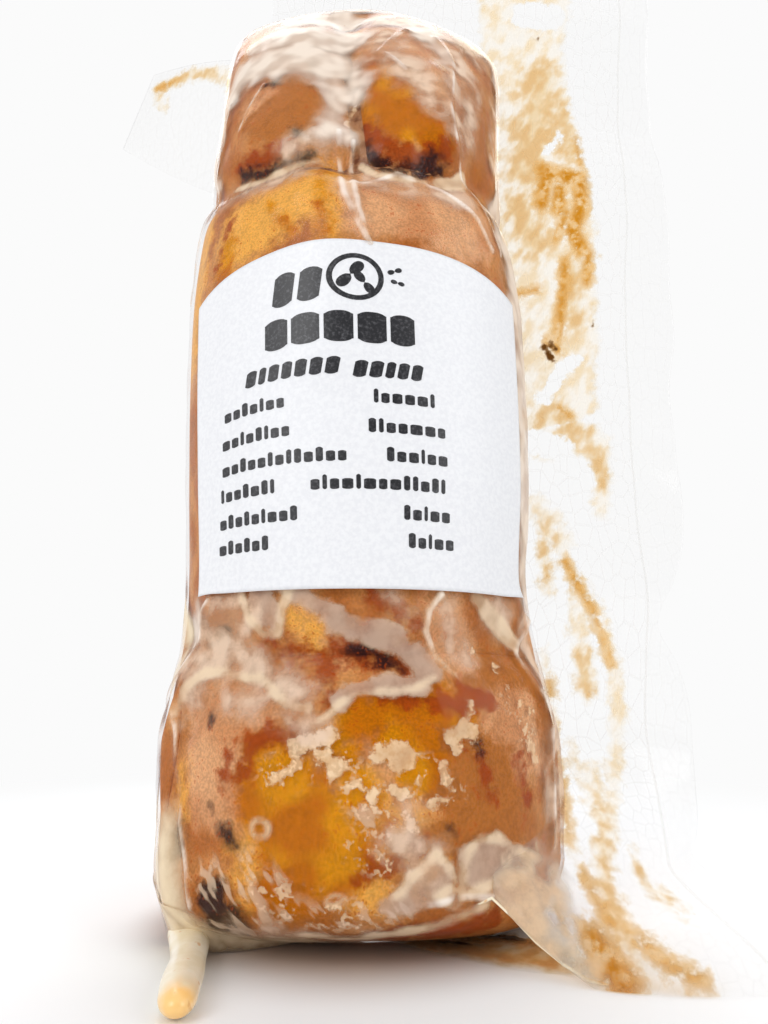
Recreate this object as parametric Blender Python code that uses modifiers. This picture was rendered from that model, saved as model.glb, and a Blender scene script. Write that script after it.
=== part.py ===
"""Fried sweet plantain, vacuum packed in a clear bag that stands on its end.

Nodes: pouch (the filled bag with its flat margins, one solid) and label (the paper
label round its front).  Metres, +Z up.  The origin is at the centre of the flat that
the pouch stands on, the label faces -Y and the wide side margin points to +X.
"""
import math

import bmesh
import bpy
from mathutils import Vector

MM = 0.001

# ---- driving dimensions, in millimetres ---------------------------------------------
BODY_TOP = 133.0          # where the two films meet above the food
FILM_TOP = 154.0          # upper end of the empty bag
FILM = 0.8                # thickness that stands for the two welded films
CLEAR = 0.05              # keeps the loose film off the plane of the base
AROUND = 60               # points round the body
MEAN_RADIUS = 21.5        # turns an angle round the body into a length

# height, then how far the body reaches to the left, right, front and back
BODY_REACH = (
    (0.0, 18.5, 19.0, 9.5, 13.0),
    (1.5, 21.5, 22.2, 14.2, 17.0),
    (4.0, 22.9, 23.8, 19.0, 19.6),
    (9.0, 24.0, 24.7, 20.5, 20.6),
    (17.0, 24.0, 25.0, 20.6, 20.8),
    (25.0, 23.6, 24.7, 20.4, 20.6),
    (32.0, 22.9, 23.3, 20.0, 20.2),
    (39.0, 22.4, 22.3, 19.9, 20.0),
    (52.0, 23.1, 23.2, 20.2, 20.2),
    (66.0, 23.8, 23.4, 20.2, 20.2),
    (80.0, 24.0, 23.1, 19.6, 19.8),
    (92.0, 23.0, 21.4, 18.4, 18.8),
    (100.0, 21.8, 20.8, 17.2, 17.6),
    (110.0, 21.0, 21.2, 14.6, 15.0),
    (119.0, 20.9, 21.6, 10.8, 11.2),
    (125.0, 20.6, 21.2, 7.2, 7.6),
    (130.0, 19.8, 19.6, 3.6, 3.9),
    (BODY_TOP, 18.0, 16.5, 1.4, 1.4),
)
LEFT_SHOULDER_DROP = 3.2  # how far the top edge falls towards each side
RIGHT_SHOULDER_DROP = 5.0
BASE_SQUARENESS = 0.7     # added to the section's power at the base, 2 being an ellipse

# rows of the body, closer together at the ends and at the clefts between the pieces
BODY_ROWS = (
    0.0, 0.9, 2.4, 4.4, 7.5, 11.5, 15.0, 18.5, 22.0, 25.0, 27.5, 29.5, 31.5, 34.0, 37.5,
    41.0, 45.0, 49.5, 54.0, 58.5, 63.0, 67.5, 72.0, 76.0, 80.0, 83.5, 86.5, 89.0,
    91.0, 93.0, 95.5, 99.0, 103.0, 107.5, 112.0, 116.5, 120.5, 124.0, 127.0, 129.5, 131.5,
    BODY_TOP,
)

# the label's two side edges in degrees from the front, at its lower and upper corners
LABEL_LEFT = (-52.0, -56.0)
LABEL_RIGHT = (60.5, 59.0)
LABEL_BOTTOM = 37.5
LABEL_TOP = 78.9
LABEL_LEFT_DROOP = 4.0    # how far its upper edge falls towards the left and right
LABEL_RIGHT_DROOP = 3.0
LABEL_PAPER = 0.35
LABEL_GAP = 0.3

# outer edge of the side margin: height, reach to the right
MARGIN_EDGE = (
    (6.0, 41.4), (9.0, 43.0), (14.0, 43.4), (23.0, 43.9), (30.0, 42.6), (35.5, 39.9),
    (41.0, 42.2), (46.0, 44.2), (53.0, 45.2), (61.0, 45.4), (68.0, 44.8), (77.0, 46.2),
    (94.0, 46.2), (113.0, 46.2), (127.0, 46.2), (139.0, 47.1), (FILM_TOP, 47.6),
)
MARGIN_ROOT = 17.0        # how far to the right the margin starts, inside the body
TOP_MARGIN_LEFT = -14.5   # left edge of the empty film above the body
SKIRT_HEIGHT = 22.0       # below this the margin swings forward over the floor
SKIRT_ROOT = (13.0, -13.0)
SKIRT_MID = (27.0, -31.0)
SKIRT_END = (49.0, -22.0)
# the front edge of the film on the floor: to the right, forward
FLOOR_FILM_EDGE = ((2.0, -8.0), (5.5, -10.6), (8.4, -13.3), (12.3, -16.1), (16.9, -18.2),
                   (24.0, -19.6))
FLOOR_FILM_BACK = -5.5    # its back edge, under the body

# ---- small helpers -------------------------------------------------------------------


def ease(low, high, value):
    """0 below low, 1 above high, and a smooth rise between them."""
    part = min(max((value - low) / (high - low), 0.0), 1.0)
    return part * part * (3.0 - 2.0 * part)


def bell(distance, spread):
    """1 at no distance, falling off smoothly over the spread."""
    return math.exp(-0.5 * (distance / spread) ** 2)


def along(table, value, column):
    """A column of the table at a value, on a curve through its rows."""
    last = len(table) - 1
    row = 0
    while row < last - 1 and value > table[row + 1][0]:
        row += 1
    before, start, end, after = (table[max(row - 1, 0)], table[row],
                                 table[row + 1], table[min(row + 2, last)])
    span = end[0] - start[0]
    part = min(max((value - start[0]) / span, 0.0), 1.0)
    slope_in = (end[column] - before[column]) / max(end[0] - before[0], 1e-6) * span
    slope_out = (after[column] - start[column]) / max(after[0] - start[0], 1e-6) * span
    cube, square = part ** 3, part ** 2
    return ((2 * cube - 3 * square + 1) * start[column] + (cube - 2 * square + part) * slope_in
            + (3 * square - 2 * cube) * end[column] + (cube - square) * slope_out)


def line_distance(turn, height, route):
    """Distance in mm over the skin from a place to a line of (degrees, height) points."""
    here = Vector((math.radians(turn) * MEAN_RADIUS, height))
    nearest = 1e9
    for (turn_a, height_a), (turn_b, height_b) in zip(route, route[1:]):
        start = Vector((math.radians(turn_a) * MEAN_RADIUS, height_a))
        step = Vector((math.radians(turn_b) * MEAN_RADIUS, height_b)) - start
        part = min(max((here - start).dot(step) / step.length_squared, 0.0), 1.0)
        nearest = min(nearest, (here - start - step * part).length)
    return nearest


# ---- the relief of the packed pieces -------------------------------------------------
# Lines over the skin as (degrees from the front, height) points, with the height of the
# relief (minus for a cleft) and its spread.
RELIEF = (
    # between the two upper pieces, and between them and the middle piece
    (-1.9, 2.7, ((-6, 130), (-4, 108), (-1, 98), (-3, 93))),
    (-1.5, 1.9, ((-78, 95), (-44, 92.8), (-26, 92), (-11, 93), (4, 90.6), (20, 90.2), (50, 93.5),
                 (82, 92))),
    (-1.4, 2.6, ((176, 128), (170, 106), (178, 92))),
    (-1.4, 2.2, ((98, 90), (140, 94), (178, 91), (214, 93.5), (262, 91))),
    # under the middle piece
    (-1.5, 2.3, ((-70, 33), (-40, 31.5), (-10, 31), (20, 30), (55, 32))),
    (-1.4, 2.3, ((105, 30), (150, 34), (200, 30), (250, 33))),
    # between the lower left piece and the lower front piece
    (-0.9, 1.8, ((-51, 24), (-34, 27.6), (-24, 27))),
    # edge of the middle piece above the label
    (0.9, 3.4, ((-11, 91), (-9, 80), (-8, 66))),
    # tight film drawn into ridges
    (0.8, 1.7, ((28, 109), (34, 98), (42, 89), (50, 83))),
    (0.9, 1.5, ((-46, 35), (-56, 28), (-68, 21), (-58, 13), (-50, 5))),
    (0.8, 1.5, ((60, 36), (54, 32), (62, 27), (76, 19), (74, 8))),
    (0.8, 2.0, ((158, 88), (150, 60), (156, 38))),
    (0.8, 2.0, ((205, 86), (214, 62), (206, 40))),
)

# rounded swells of the packed pieces: degrees, height, size, spread round and spread up
SWELLS = (
    (-45, 108, 0.8, 9.0, 9.0),
    (32, 107, 0.7, 9.0, 9.0),
    (-4, 15, 0.7, 13.0, 9.0),
    (150, 112, 0.6, 9.0, 8.0),
    (214, 110, 0.7, 9.0, 8.0),
    (180, 60, 0.6, 14.0, 18.0),
    (188, 16, 0.6, 14.0, 9.0),
)


def relief(turn, height):
    """How far the skin stands out (or is drawn in) at a place, in mm."""
    total = 0.0
    for lift, spread, route in RELIEF:
        for wrap in (-360, 0, 360):
            distance = line_distance(turn + wrap, height, route)
            if distance < 4 * spread:
                total += lift * bell(distance, spread)
    for swell_turn, swell_height, lift, spread_round, spread_up in SWELLS:
        aside = math.radians((turn - swell_turn + 180) % 360 - 180) * MEAN_RADIUS
        total += lift * bell(aside, spread_round) * bell(height - swell_height, spread_up)
    return total * ease(0.0, 6.0, height) * ease(0.0, 7.0, BODY_TOP - height)


def skin(turn, height):
    """A point of the body's skin; turn is in degrees from the front, + to the right."""
    angle = math.radians(turn)
    left, right, front, back = (along(BODY_REACH, height, column) for column in (1, 2, 3, 4))
    reach_x = right if math.sin(angle) >= 0 else left
    reach_y = front if math.cos(angle) >= 0 else back
    drop = RIGHT_SHOULDER_DROP if math.sin(angle) >= 0 else LEFT_SHOULDER_DROP
    power = 2.0 / (2.0 + BASE_SQUARENESS * (1.0 - ease(0.0, 12.0, height)))
    flat = Vector((math.sin(angle), -math.cos(angle), 0.0))
    spot = Vector((reach_x * math.copysign(abs(flat.x) ** power, flat.x),
                   reach_y * math.copysign(abs(flat.y) ** power, flat.y),
                   height - drop * flat.x ** 2 * ease(116.0, BODY_TOP, height)))
    return spot + flat * relief(turn, height)


# ---- making meshes -------------------------------------------------------------------


def new_object(name, points, faces, home):
    mesh = bpy.data.meshes.new(name)
    mesh.from_pydata([tuple(point * MM) for point in points], [], faces)
    mesh.update()
    made = bpy.data.objects.new(name, mesh)
    home.objects.link(made)
    work = bmesh.new()
    work.from_mesh(mesh)
    bmesh.ops.recalc_face_normals(work, faces=work.faces)
    work.to_mesh(mesh)
    work.free()
    return made


def grid_faces(rows, columns):
    """Quads of an open grid whose points run row by row."""
    return [(row * columns + column, row * columns + column + 1,
             (row + 1) * columns + column + 1, (row + 1) * columns + column)
            for row in range(rows - 1) for column in range(columns - 1)]


def film_sheet(name, rows_of_points, home, thickness=FILM):
    """An open sheet of film with a Solidify wall of the film's thickness."""
    columns = len(rows_of_points[0])
    points = [point for row in rows_of_points for point in row]
    sheet = new_object(name, points, grid_faces(len(rows_of_points), columns), home)
    wall = sheet.modifiers.new("film", "SOLIDIFY")
    wall.thickness = thickness * MM
    wall.offset = 0.0
    return sheet


def material(name, colour, roughness, metallic=0.0):
    made = bpy.data.materials.new(name)
    made.use_nodes = True
    shader = made.node_tree.nodes["Principled BSDF"]
    shader.inputs["Base Color"].default_value = (*colour, 1.0)
    shader.inputs["Roughness"].default_value = roughness
    shader.inputs["Metallic"].default_value = metallic
    return made


# ---- the sub-parts -------------------------------------------------------------------


def make_body(home):
    """The filled part of the bag: a loft of rings, flat below and pinched shut above."""
    step = 360.0 / AROUND
    points = [skin(step * index - 180.0, height) for height in BODY_ROWS
              for index in range(AROUND)]
    faces = []
    for row in range(len(BODY_ROWS) - 1):
        for index in range(AROUND):
            after = (index + 1) % AROUND
            faces.append((row * AROUND + index, row * AROUND + after,
                          (row + 1) * AROUND + after, (row + 1) * AROUND + index))
    faces.append(tuple(reversed(range(AROUND))))
    last = (len(BODY_ROWS) - 1) * AROUND
    faces.append(tuple(range(last, last + AROUND)))
    body = new_object("pouch", points, faces, home)
    body.data.shade_smooth()
    body.data.set_sharp_from_angle(angle=math.radians(50))
    return body


def margin_point(height, part):
    """A point of the side and top margin, from its root (0) to its outer edge (1)."""
    above = ease(117.0, 126.0, height)
    root = Vector((MARGIN_ROOT + (TOP_MARGIN_LEFT - MARGIN_ROOT) * above, 0.0))
    edge = Vector((along(MARGIN_EDGE, max(height, MARGIN_EDGE[0][0]), 1), 1.0))
    middle = (root + edge) / 2
    swing = 1.0 - ease(0.0, SKIRT_HEIGHT, height)
    flare = 1.0 - ease(0.0, 7.5, height)
    root = root.lerp(Vector(SKIRT_ROOT), swing)
    middle = middle.lerp(Vector(SKIRT_MID), swing)
    edge = edge.lerp(Vector(SKIRT_END), flare)
    spot = (root * (1 - part) ** 2 + middle * 2 * part * (1 - part) + edge * part ** 2)
    wave = 1.1 * math.sin(height / 8.5) + 0.7 * math.sin(height / 4.6 + 2.0)
    spot.y += wave * part ** 1.5 * (1.0 - swing)
    return Vector((spot.x, spot.y, height))


def make_margin(home):
    """The flat side margin, the empty film above the food and the skirt on the floor."""
    low = FILM / 2 + CLEAR
    heights = ([low, 3.0, 6.0] + [9.0 + 4.6 * index for index in range(7)]
               + [41.0 + 6.2 * index for index in range(13)]
               + [119.0, 122.5, 126.0, 131.0, 136.0, 142.0, 148.0, FILM_TOP])
    return film_sheet("margin_union", [[margin_point(height, part / 9) for part in range(10)]
                                       for height in heights], home)


def make_flap(home):
    """The bag's upper left corner, bent back and away from the body."""
    root_low, root_high = Vector((-19.5, 3.0, 101.0)), Vector((-16.5, 2.2, 127.0))
    out_low, out_high = Vector((-42.5, 14.0, 119.5)), Vector((-38.5, 15.0, 136.0))
    rows = []
    for up in range(7):
        row = []
        for out in range(9):
            low = root_low.lerp(out_low, out / 8)
            high = root_high.lerp(out_high, out / 8)
            bow = math.sin(math.pi * out / 8) * (1.2 - 2.2 * up / 6)
            row.append(low.lerp(high, up / 6) + Vector((0.0, bow, 0.0)))
        rows.append(row)
    return film_sheet("flap_union", rows, home)


def make_floor_film(home):
    """The bottom margin of the bag, lying on the floor in front of the base."""
    left, right = FLOOR_FILM_EDGE[0][0], FLOOR_FILM_EDGE[-1][0]
    rows = []
    for out in range(5):
        row = []
        for side in range(12):
            spot_x = left + (right - left) * side / 11
            front = along(FLOOR_FILM_EDGE, spot_x, 1)
            spot_y = FLOOR_FILM_BACK + (front - FLOOR_FILM_BACK) * out / 4
            row.append(Vector((spot_x, spot_y, FILM / 2 + CLEAR)))
        rows.append(row)
    return film_sheet("floor_film_union", rows, home)


def make_tail(home):
    """The bag's lower left corner, a narrow tip swollen with juice."""
    root, tip = Vector((-16.6, -11.0)), Vector((-13.0, -30.8))
    axis = (tip - root).normalized()
    side = Vector((-axis.y, axis.x))
    length = (tip - root).length
    rows, around = 12, 12
    points, faces = [], []
    for row in range(rows):
        part = row / (rows - 1)
        end = math.sqrt(max(1.0 - max((part - 0.82) / 0.18, 0.0) ** 2, 0.0))
        half_wide = max((2.5 - 0.5 * part) * end, 0.25)
        half_high = max((1.5 - 0.2 * part) * end, 0.2)
        centre = root + axis * length * part
        for index in range(around):
            angle = 2 * math.pi * index / around
            aside = centre + side * half_wide * math.cos(angle)
            height = CLEAR + 1.3 + half_high * math.sin(angle)
            points.append(Vector((aside.x, aside.y, max(height, CLEAR))))
    for row in range(rows - 1):
        for index in range(around):
            after = (index + 1) % around
            faces.append((row * around + index, row * around + after,
                          (row + 1) * around + after, (row + 1) * around + index))
    faces.append(tuple(range(around)))
    faces.append(tuple(range((rows - 1) * around, rows * around)))
    return new_object("tail_union", points, faces, home)


def label_point(across, up):
    """A point of the label's middle surface; both go from 0 to 1 over the paper."""
    left = LABEL_LEFT[0] + (LABEL_LEFT[1] - LABEL_LEFT[0]) * up
    right = LABEL_RIGHT[0] + (LABEL_RIGHT[1] - LABEL_RIGHT[0]) * up
    turn = left + (right - left) * across
    aside = 2.0 * across - 1.0
    droop = LABEL_LEFT_DROOP if aside < 0 else LABEL_RIGHT_DROOP
    height = LABEL_BOTTOM + (LABEL_TOP - droop * abs(aside) ** 2.6 - LABEL_BOTTOM) * up
    here = skin(turn, height)
    level = skin(turn + 1.0, height) - skin(turn - 1.0, height)
    upward = skin(turn, height + 0.5) - skin(turn, height - 0.5)
    return here + level.cross(upward).normalized() * (LABEL_GAP + LABEL_PAPER / 2)


def make_label(home):
    """The paper label, bent round the front, a little off the film."""
    columns, rows = 22, 15
    return film_sheet("label", [[label_point(column / columns, row / rows)
                                 for column in range(columns + 1)]
                                for row in range(rows + 1)], home, LABEL_PAPER)


def join(body, helper):
    """Union a helper into the body; the helper stays hidden."""
    union = body.modifiers.new(helper.name, "BOOLEAN")
    union.operation = "UNION"
    union.solver = "EXACT"
    union.object = helper
    helper.hide_render = True
    helper.display_type = "WIRE"


def main():
    for old in list(bpy.data.objects):
        bpy.data.objects.remove(old, do_unlink=True)
    home = bpy.data.collections.new("packed_plantain")
    helpers = bpy.data.collections.new("union_helpers")
    for collection in (home, helpers):
        bpy.context.scene.collection.children.link(collection)

    pouch = make_body(home)
    for make in (make_margin, make_flap, make_floor_film, make_tail):
        join(pouch, make(helpers))
    pouch.data.materials.append(material("plantain_in_film", (0.52, 0.24, 0.06), 0.25))

    label = make_label(home)
    label.data.materials.append(material("label_paper", (0.93, 0.93, 0.94), 0.5))


main()
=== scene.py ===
# %% [markdown]
# # Fried sweet plantain in a clear vacuum bag
# The real thing is a portion of fried sweet plantain: a few soft, sticky pieces, pressed
# together by a clear bag from which the air was drawn. It stands on its end, with a paper
# label round the front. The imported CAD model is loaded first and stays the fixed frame:
# every piece below takes its place from it.

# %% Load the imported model
import math

import bpy
import numpy as np
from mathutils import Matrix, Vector


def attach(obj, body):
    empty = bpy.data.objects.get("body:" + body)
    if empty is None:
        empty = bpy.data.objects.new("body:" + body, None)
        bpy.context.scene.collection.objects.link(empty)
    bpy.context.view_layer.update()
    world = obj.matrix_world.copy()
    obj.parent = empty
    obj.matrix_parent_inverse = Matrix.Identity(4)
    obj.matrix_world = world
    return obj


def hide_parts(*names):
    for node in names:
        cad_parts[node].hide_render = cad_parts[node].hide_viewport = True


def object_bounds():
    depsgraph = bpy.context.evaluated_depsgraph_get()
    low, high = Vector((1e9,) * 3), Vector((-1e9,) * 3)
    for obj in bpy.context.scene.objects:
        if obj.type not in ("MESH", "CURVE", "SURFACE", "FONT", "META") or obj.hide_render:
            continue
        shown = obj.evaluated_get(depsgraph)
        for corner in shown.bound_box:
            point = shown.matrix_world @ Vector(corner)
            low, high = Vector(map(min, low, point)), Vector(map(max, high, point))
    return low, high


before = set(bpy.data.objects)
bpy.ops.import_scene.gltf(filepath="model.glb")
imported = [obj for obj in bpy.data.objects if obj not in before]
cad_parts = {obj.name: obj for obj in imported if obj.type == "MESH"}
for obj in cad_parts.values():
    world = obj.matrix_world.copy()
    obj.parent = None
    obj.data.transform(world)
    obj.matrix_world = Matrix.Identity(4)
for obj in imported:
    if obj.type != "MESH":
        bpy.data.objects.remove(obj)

cad_low, cad_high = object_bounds()
print("the packed model runs from", tuple(cad_low), "to", tuple(cad_high))

# %% [markdown]
# Lengths are written in millimetres, the unit of the kitchen and of the bag, and become
# metres only when a mesh gets its points. Angles round the pack are in degrees from the
# front, and grow to the right.

# %% The pack's own sizes
MM = 0.001
FILM_TOP = cad_high.z / MM        # upper end of the empty film
BODY_TOP = 133.0                  # where the two films meet above the food
MEAN_RADIUS = 21.5                # turns an angle round the body into a length
LEFT_SHOULDER_DROP = 3.2          # how far the top edge falls towards each side
RIGHT_SHOULDER_DROP = 5.0
BASE_SQUARENESS = 0.7
# height, then how far the body reaches to the left, right, front and back
BODY_REACH = (
    (0.0, 18.5, 19.0, 9.5, 13.0),
    (1.5, 21.5, 22.2, 14.2, 17.0),
    (4.0, 22.9, 23.8, 19.0, 19.6),
    (9.0, 24.0, 24.7, 20.5, 20.6),
    (17.0, 24.0, 25.0, 20.6, 20.8),
    (25.0, 23.6, 24.7, 20.4, 20.6),
    (32.0, 22.9, 23.3, 20.0, 20.2),
    (39.0, 22.4, 22.3, 19.9, 20.0),
    (52.0, 23.1, 23.2, 20.2, 20.2),
    (66.0, 23.8, 23.4, 20.2, 20.2),
    (80.0, 24.0, 23.1, 19.6, 19.8),
    (92.0, 23.0, 21.4, 18.4, 18.8),
    (100.0, 21.8, 20.8, 17.2, 17.6),
    (110.0, 21.0, 21.2, 14.6, 15.0),
    (119.0, 20.9, 21.6, 10.8, 11.2),
    (125.0, 20.6, 21.2, 7.2, 7.6),
    (130.0, 19.8, 19.6, 3.6, 3.9),
    (BODY_TOP, 18.0, 16.5, 1.4, 1.4),
)
# clefts (minus) and ridges of the skin: lift, spread, and a line of (degrees, height)
RELIEF = (
    (-1.9, 2.7, ((-6, 130), (-4, 108), (-1, 98), (-3, 93))),
    (-1.5, 1.9, ((-78, 95), (-44, 92.8), (-26, 92), (-11, 93), (4, 90.6), (20, 90.2), (50, 93.5),
                 (82, 92))),
    (-1.4, 2.6, ((176, 128), (170, 106), (178, 92))),
    (-1.4, 2.2, ((98, 90), (140, 94), (178, 91), (214, 93.5), (262, 91))),
    (-1.5, 2.3, ((-70, 33), (-40, 31.5), (-10, 31), (20, 30), (55, 32))),
    (-1.4, 2.3, ((105, 30), (150, 34), (200, 30), (250, 33))),
    (-0.9, 1.8, ((-51, 24), (-34, 27.6), (-24, 27))),
    (0.9, 3.4, ((-11, 91), (-9, 80), (-8, 66))),
    (0.8, 1.7, ((28, 109), (34, 98), (42, 89), (50, 83))),
    (0.9, 1.5, ((-46, 35), (-56, 28), (-68, 21), (-58, 13), (-50, 5))),
    (0.8, 1.5, ((60, 36), (54, 32), (62, 27), (76, 19), (74, 8))),
    (0.8, 2.0, ((158, 88), (150, 60), (156, 38))),
    (0.8, 2.0, ((205, 86), (214, 62), (206, 40))),
)
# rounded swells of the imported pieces: degrees, height, size, spread round and spread up
SWELLS = (
    (-45, 108, 0.8, 9.0, 9.0),
    (32, 107, 0.7, 9.0, 9.0),
    (-4, 15, 0.7, 13.0, 9.0),
    (150, 112, 0.6, 9.0, 8.0),
    (214, 110, 0.7, 9.0, 8.0),
    (180, 60, 0.6, 14.0, 18.0),
    (188, 16, 0.6, 14.0, 9.0),
)

# %% [markdown]
# The skin of the pack is a rule: give it an angle and a height, and it gives a point. The
# rule is the same as the frame's, written here for whole arrays of points at once, so that
# a fine film of a hundred thousand points takes a moment.


# %% The rule of the skin
def ease(low, high, value):
    """0 below low, 1 above high, and a smooth rise between them."""
    part = np.clip((value - low) / (high - low), 0.0, 1.0)
    return part * part * (3.0 - 2.0 * part)


def bell(distance, spread):
    """1 at no distance, falling off smoothly over the spread."""
    return np.exp(-0.5 * (distance / spread) ** 2)


def along(table, value, column):
    """A column of the table at each value, on a curve through its rows."""
    rows = np.array(table)
    keys, reach = rows[:, 0], rows[:, column]
    value = np.clip(value, keys[0], keys[-1])
    row = np.clip(np.searchsorted(keys, value) - 1, 0, len(keys) - 2)
    before, after = np.maximum(row - 1, 0), np.minimum(row + 2, len(keys) - 1)
    span = keys[row + 1] - keys[row]
    part = (value - keys[row]) / span
    slope_in = (reach[row + 1] - reach[before]) / (keys[row + 1] - keys[before]) * span
    slope_out = (reach[after] - reach[row]) / (keys[after] - keys[row]) * span
    cube, square = part ** 3, part ** 2
    return ((2 * cube - 3 * square + 1) * reach[row] + (cube - 2 * square + part) * slope_in
            + (3 * square - 2 * cube) * reach[row + 1] + (cube - square) * slope_out)


def line_distance(turn, height, route):
    """Distance in mm over the skin from places to a line of (degrees, height) points."""
    round_way = np.radians(turn) * MEAN_RADIUS
    nearest = np.full(np.shape(turn), 1e9)
    ends = list(zip(route, route[1:])) or [(route[0], route[0])]
    for (turn_a, height_a), (turn_b, height_b) in ends:
        start = math.radians(turn_a) * MEAN_RADIUS
        step = math.radians(turn_b) * MEAN_RADIUS - start
        rise = height_b - height_a
        part = ((round_way - start) * step + (height - height_a) * rise)
        part = np.clip(part / max(step * step + rise * rise, 1e-9), 0.0, 1.0)
        distance = np.hypot(round_way - start - step * part, height - height_a - rise * part)
        nearest = np.minimum(nearest, distance)
    return nearest


def near_height(height, route, reach):
    """Which places are level with the route, or no further than the reach from that."""
    heights = [point[1] for point in route]
    return (height > min(heights) - reach) & (height < max(heights) + reach)


def near_turn(turn, route):
    """The same angles, counted so that they lie within half a turn of the route."""
    middle = sum(point[0] for point in route) / len(route)
    return middle + (turn - middle + 180.0) % 360.0 - 180.0


def relief(turn, height):
    """How far the skin stands out (or is drawn in) at each place, in mm."""
    total = np.zeros(np.shape(turn))
    for lift, spread, route in RELIEF:
        total += lift * bell(line_distance(near_turn(turn, route), height, route), spread)
    for swell_turn, swell_height, lift, spread_round, spread_up in SWELLS:
        aside = np.radians((turn - swell_turn + 180) % 360 - 180) * MEAN_RADIUS
        total += lift * bell(aside, spread_round) * bell(height - swell_height, spread_up)
    return total * ease(0.0, 6.0, height) * ease(0.0, 7.0, BODY_TOP - height)


def section(sine, cosine, height):
    """Reach to the side and to the front or back, and the power of the outline there."""
    side = np.where(sine >= 0, along(BODY_REACH, height, 2), along(BODY_REACH, height, 1))
    deep = np.where(cosine >= 0, along(BODY_REACH, height, 3), along(BODY_REACH, height, 4))
    power = 2.0 / (2.0 + BASE_SQUARENESS * (1.0 - ease(0.0, 12.0, height)))
    return side, deep, power


def shoulder_drop(sine, height):
    drop = np.where(sine >= 0, RIGHT_SHOULDER_DROP, LEFT_SHOULDER_DROP)
    return drop * sine * sine * ease(116.0, BODY_TOP, height)


def skin(turn, height, lift=0.0):
    """Points of the skin, lifted off it by some mm."""
    sine, cosine = np.sin(np.radians(turn)), np.cos(np.radians(turn))
    side, deep, power = section(sine, cosine, height)
    out = relief(turn, height) + lift
    return np.stack([side * np.sign(sine) * np.abs(sine) ** power + sine * out,
                     -deep * np.sign(cosine) * np.abs(cosine) ** power - cosine * out,
                     height - shoulder_drop(sine, height)], axis=-1)


def on_body(points):
    """Angle and height of points near the body, and how far outside the skin they are."""
    x, y, z = points.T
    turn, height = np.degrees(np.arctan2(x, -y)), z.copy()
    for _ in range(6):
        sine, cosine = np.sin(np.radians(turn)), np.cos(np.radians(turn))
        side, deep, power = section(sine, cosine, np.clip(height, 0.0, BODY_TOP))
        sine = np.sign(x) * np.abs(x / side) ** (1.0 / power)
        cosine = -np.sign(y) * np.abs(y / deep) ** (1.0 / power)
        share = np.maximum(np.hypot(sine, cosine), 1e-6)
        turn = np.degrees(np.arctan2(sine, cosine))
        height = z + shoulder_drop(sine / share, height)
    middle_distance = np.hypot(x, y)
    outside = middle_distance - middle_distance / share ** power - RELIEF_MAP.read(turn, height)
    return turn, height, outside


class ReliefMap:
    """The relief worked out once on a grid of 1 degree by half a millimetre, then looked up."""

    def __init__(self):
        self.turns = np.arange(-180.0, 181.0)
        self.heights = np.arange(0.0, BODY_TOP + 0.5, 0.5)
        self.grid = relief(*np.meshgrid(self.turns, self.heights, indexing="ij"))

    def read(self, turn, height):
        column = np.clip(turn + 180.0, 0.0, len(self.turns) - 1.001)
        row = np.clip(height * 2.0, 0.0, len(self.heights) - 1.001)
        left, low = column.astype(int), row.astype(int)
        aside, above = column - left, row - low
        return ((self.grid[left, low] * (1 - aside) + self.grid[left + 1, low] * aside)
                * (1 - above)
                + (self.grid[left, low + 1] * (1 - aside)
                   + self.grid[left + 1, low + 1] * aside) * above)


RELIEF_MAP = ReliefMap()
print("the skin is drawn in by", round(float(-RELIEF_MAP.grid.min()), 2), "mm at its deepest")

# %% [markdown]
# A mesh starts as one of Blender's own shapes and its points are then moved. These few
# helpers do that for every piece: a flat grid becomes a film, and a ball becomes a piece of
# plantain. Each helper deselects everything first, because an operator acts on all that is
# selected.


# %% Helpers for meshes
def points_of(piece):
    """The piece's points in mm, one row each."""
    flat = np.empty(len(piece.data.vertices) * 3)
    piece.data.vertices.foreach_get("co", flat)
    return flat.reshape(-1, 3) / MM


def move_points(piece, points):
    piece.data.vertices.foreach_set("co", (points * MM).ravel())
    piece.data.update()


def take_new(name):
    """The object that the last operator added, named and shaded smooth."""
    piece = bpy.context.object
    piece.name = name
    piece.data.name = name
    piece.data.shade_smooth()
    return piece


def edit(*steps):
    """Runs edit mode operators, each given as (operator, settings), on the whole mesh."""
    bpy.ops.object.mode_set(mode="EDIT")
    for operator, settings in steps:
        bpy.ops.mesh.select_all(action="SELECT")
        operator(**settings)
    bpy.ops.object.mode_set(mode="OBJECT")


def new_sheet(name, columns, rows, place):
    """A flat grid whose points go to place(across, up); both run from 0 to 1."""
    bpy.ops.object.select_all(action="DESELECT")
    bpy.ops.mesh.primitive_grid_add(x_subdivisions=columns, y_subdivisions=rows, size=1.0)
    piece = take_new(name)
    flat = points_of(piece) * MM + 0.5
    move_points(piece, place(flat[:, 0], flat[:, 1]))
    return piece


def give_wall(piece, thickness):
    """Turns a sheet into a thin closed wall with a Solidify modifier, which is applied."""
    wall = piece.modifiers.new("wall", "SOLIDIFY")
    wall.thickness = thickness * MM
    wall.offset = 0.0
    bpy.ops.object.select_all(action="DESELECT")
    piece.select_set(True)
    bpy.context.view_layer.objects.active = piece
    bpy.ops.object.modifier_apply(modifier=wall.name)
    piece.data.shade_smooth()
    return piece


def write_field(piece, name, values):
    """Keeps one number for each point, for the piece's material to read."""
    field = piece.data.attributes.new(name, "FLOAT", "POINT")
    field.data.foreach_set("value", np.asarray(values, dtype=np.float32))


def finish_piece(piece, material):
    piece.data.materials.clear()
    piece.data.materials.append(material)
    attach(piece, "root")
    print(piece.name, "has", len(piece.data.polygons), "faces")
    return piece


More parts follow.
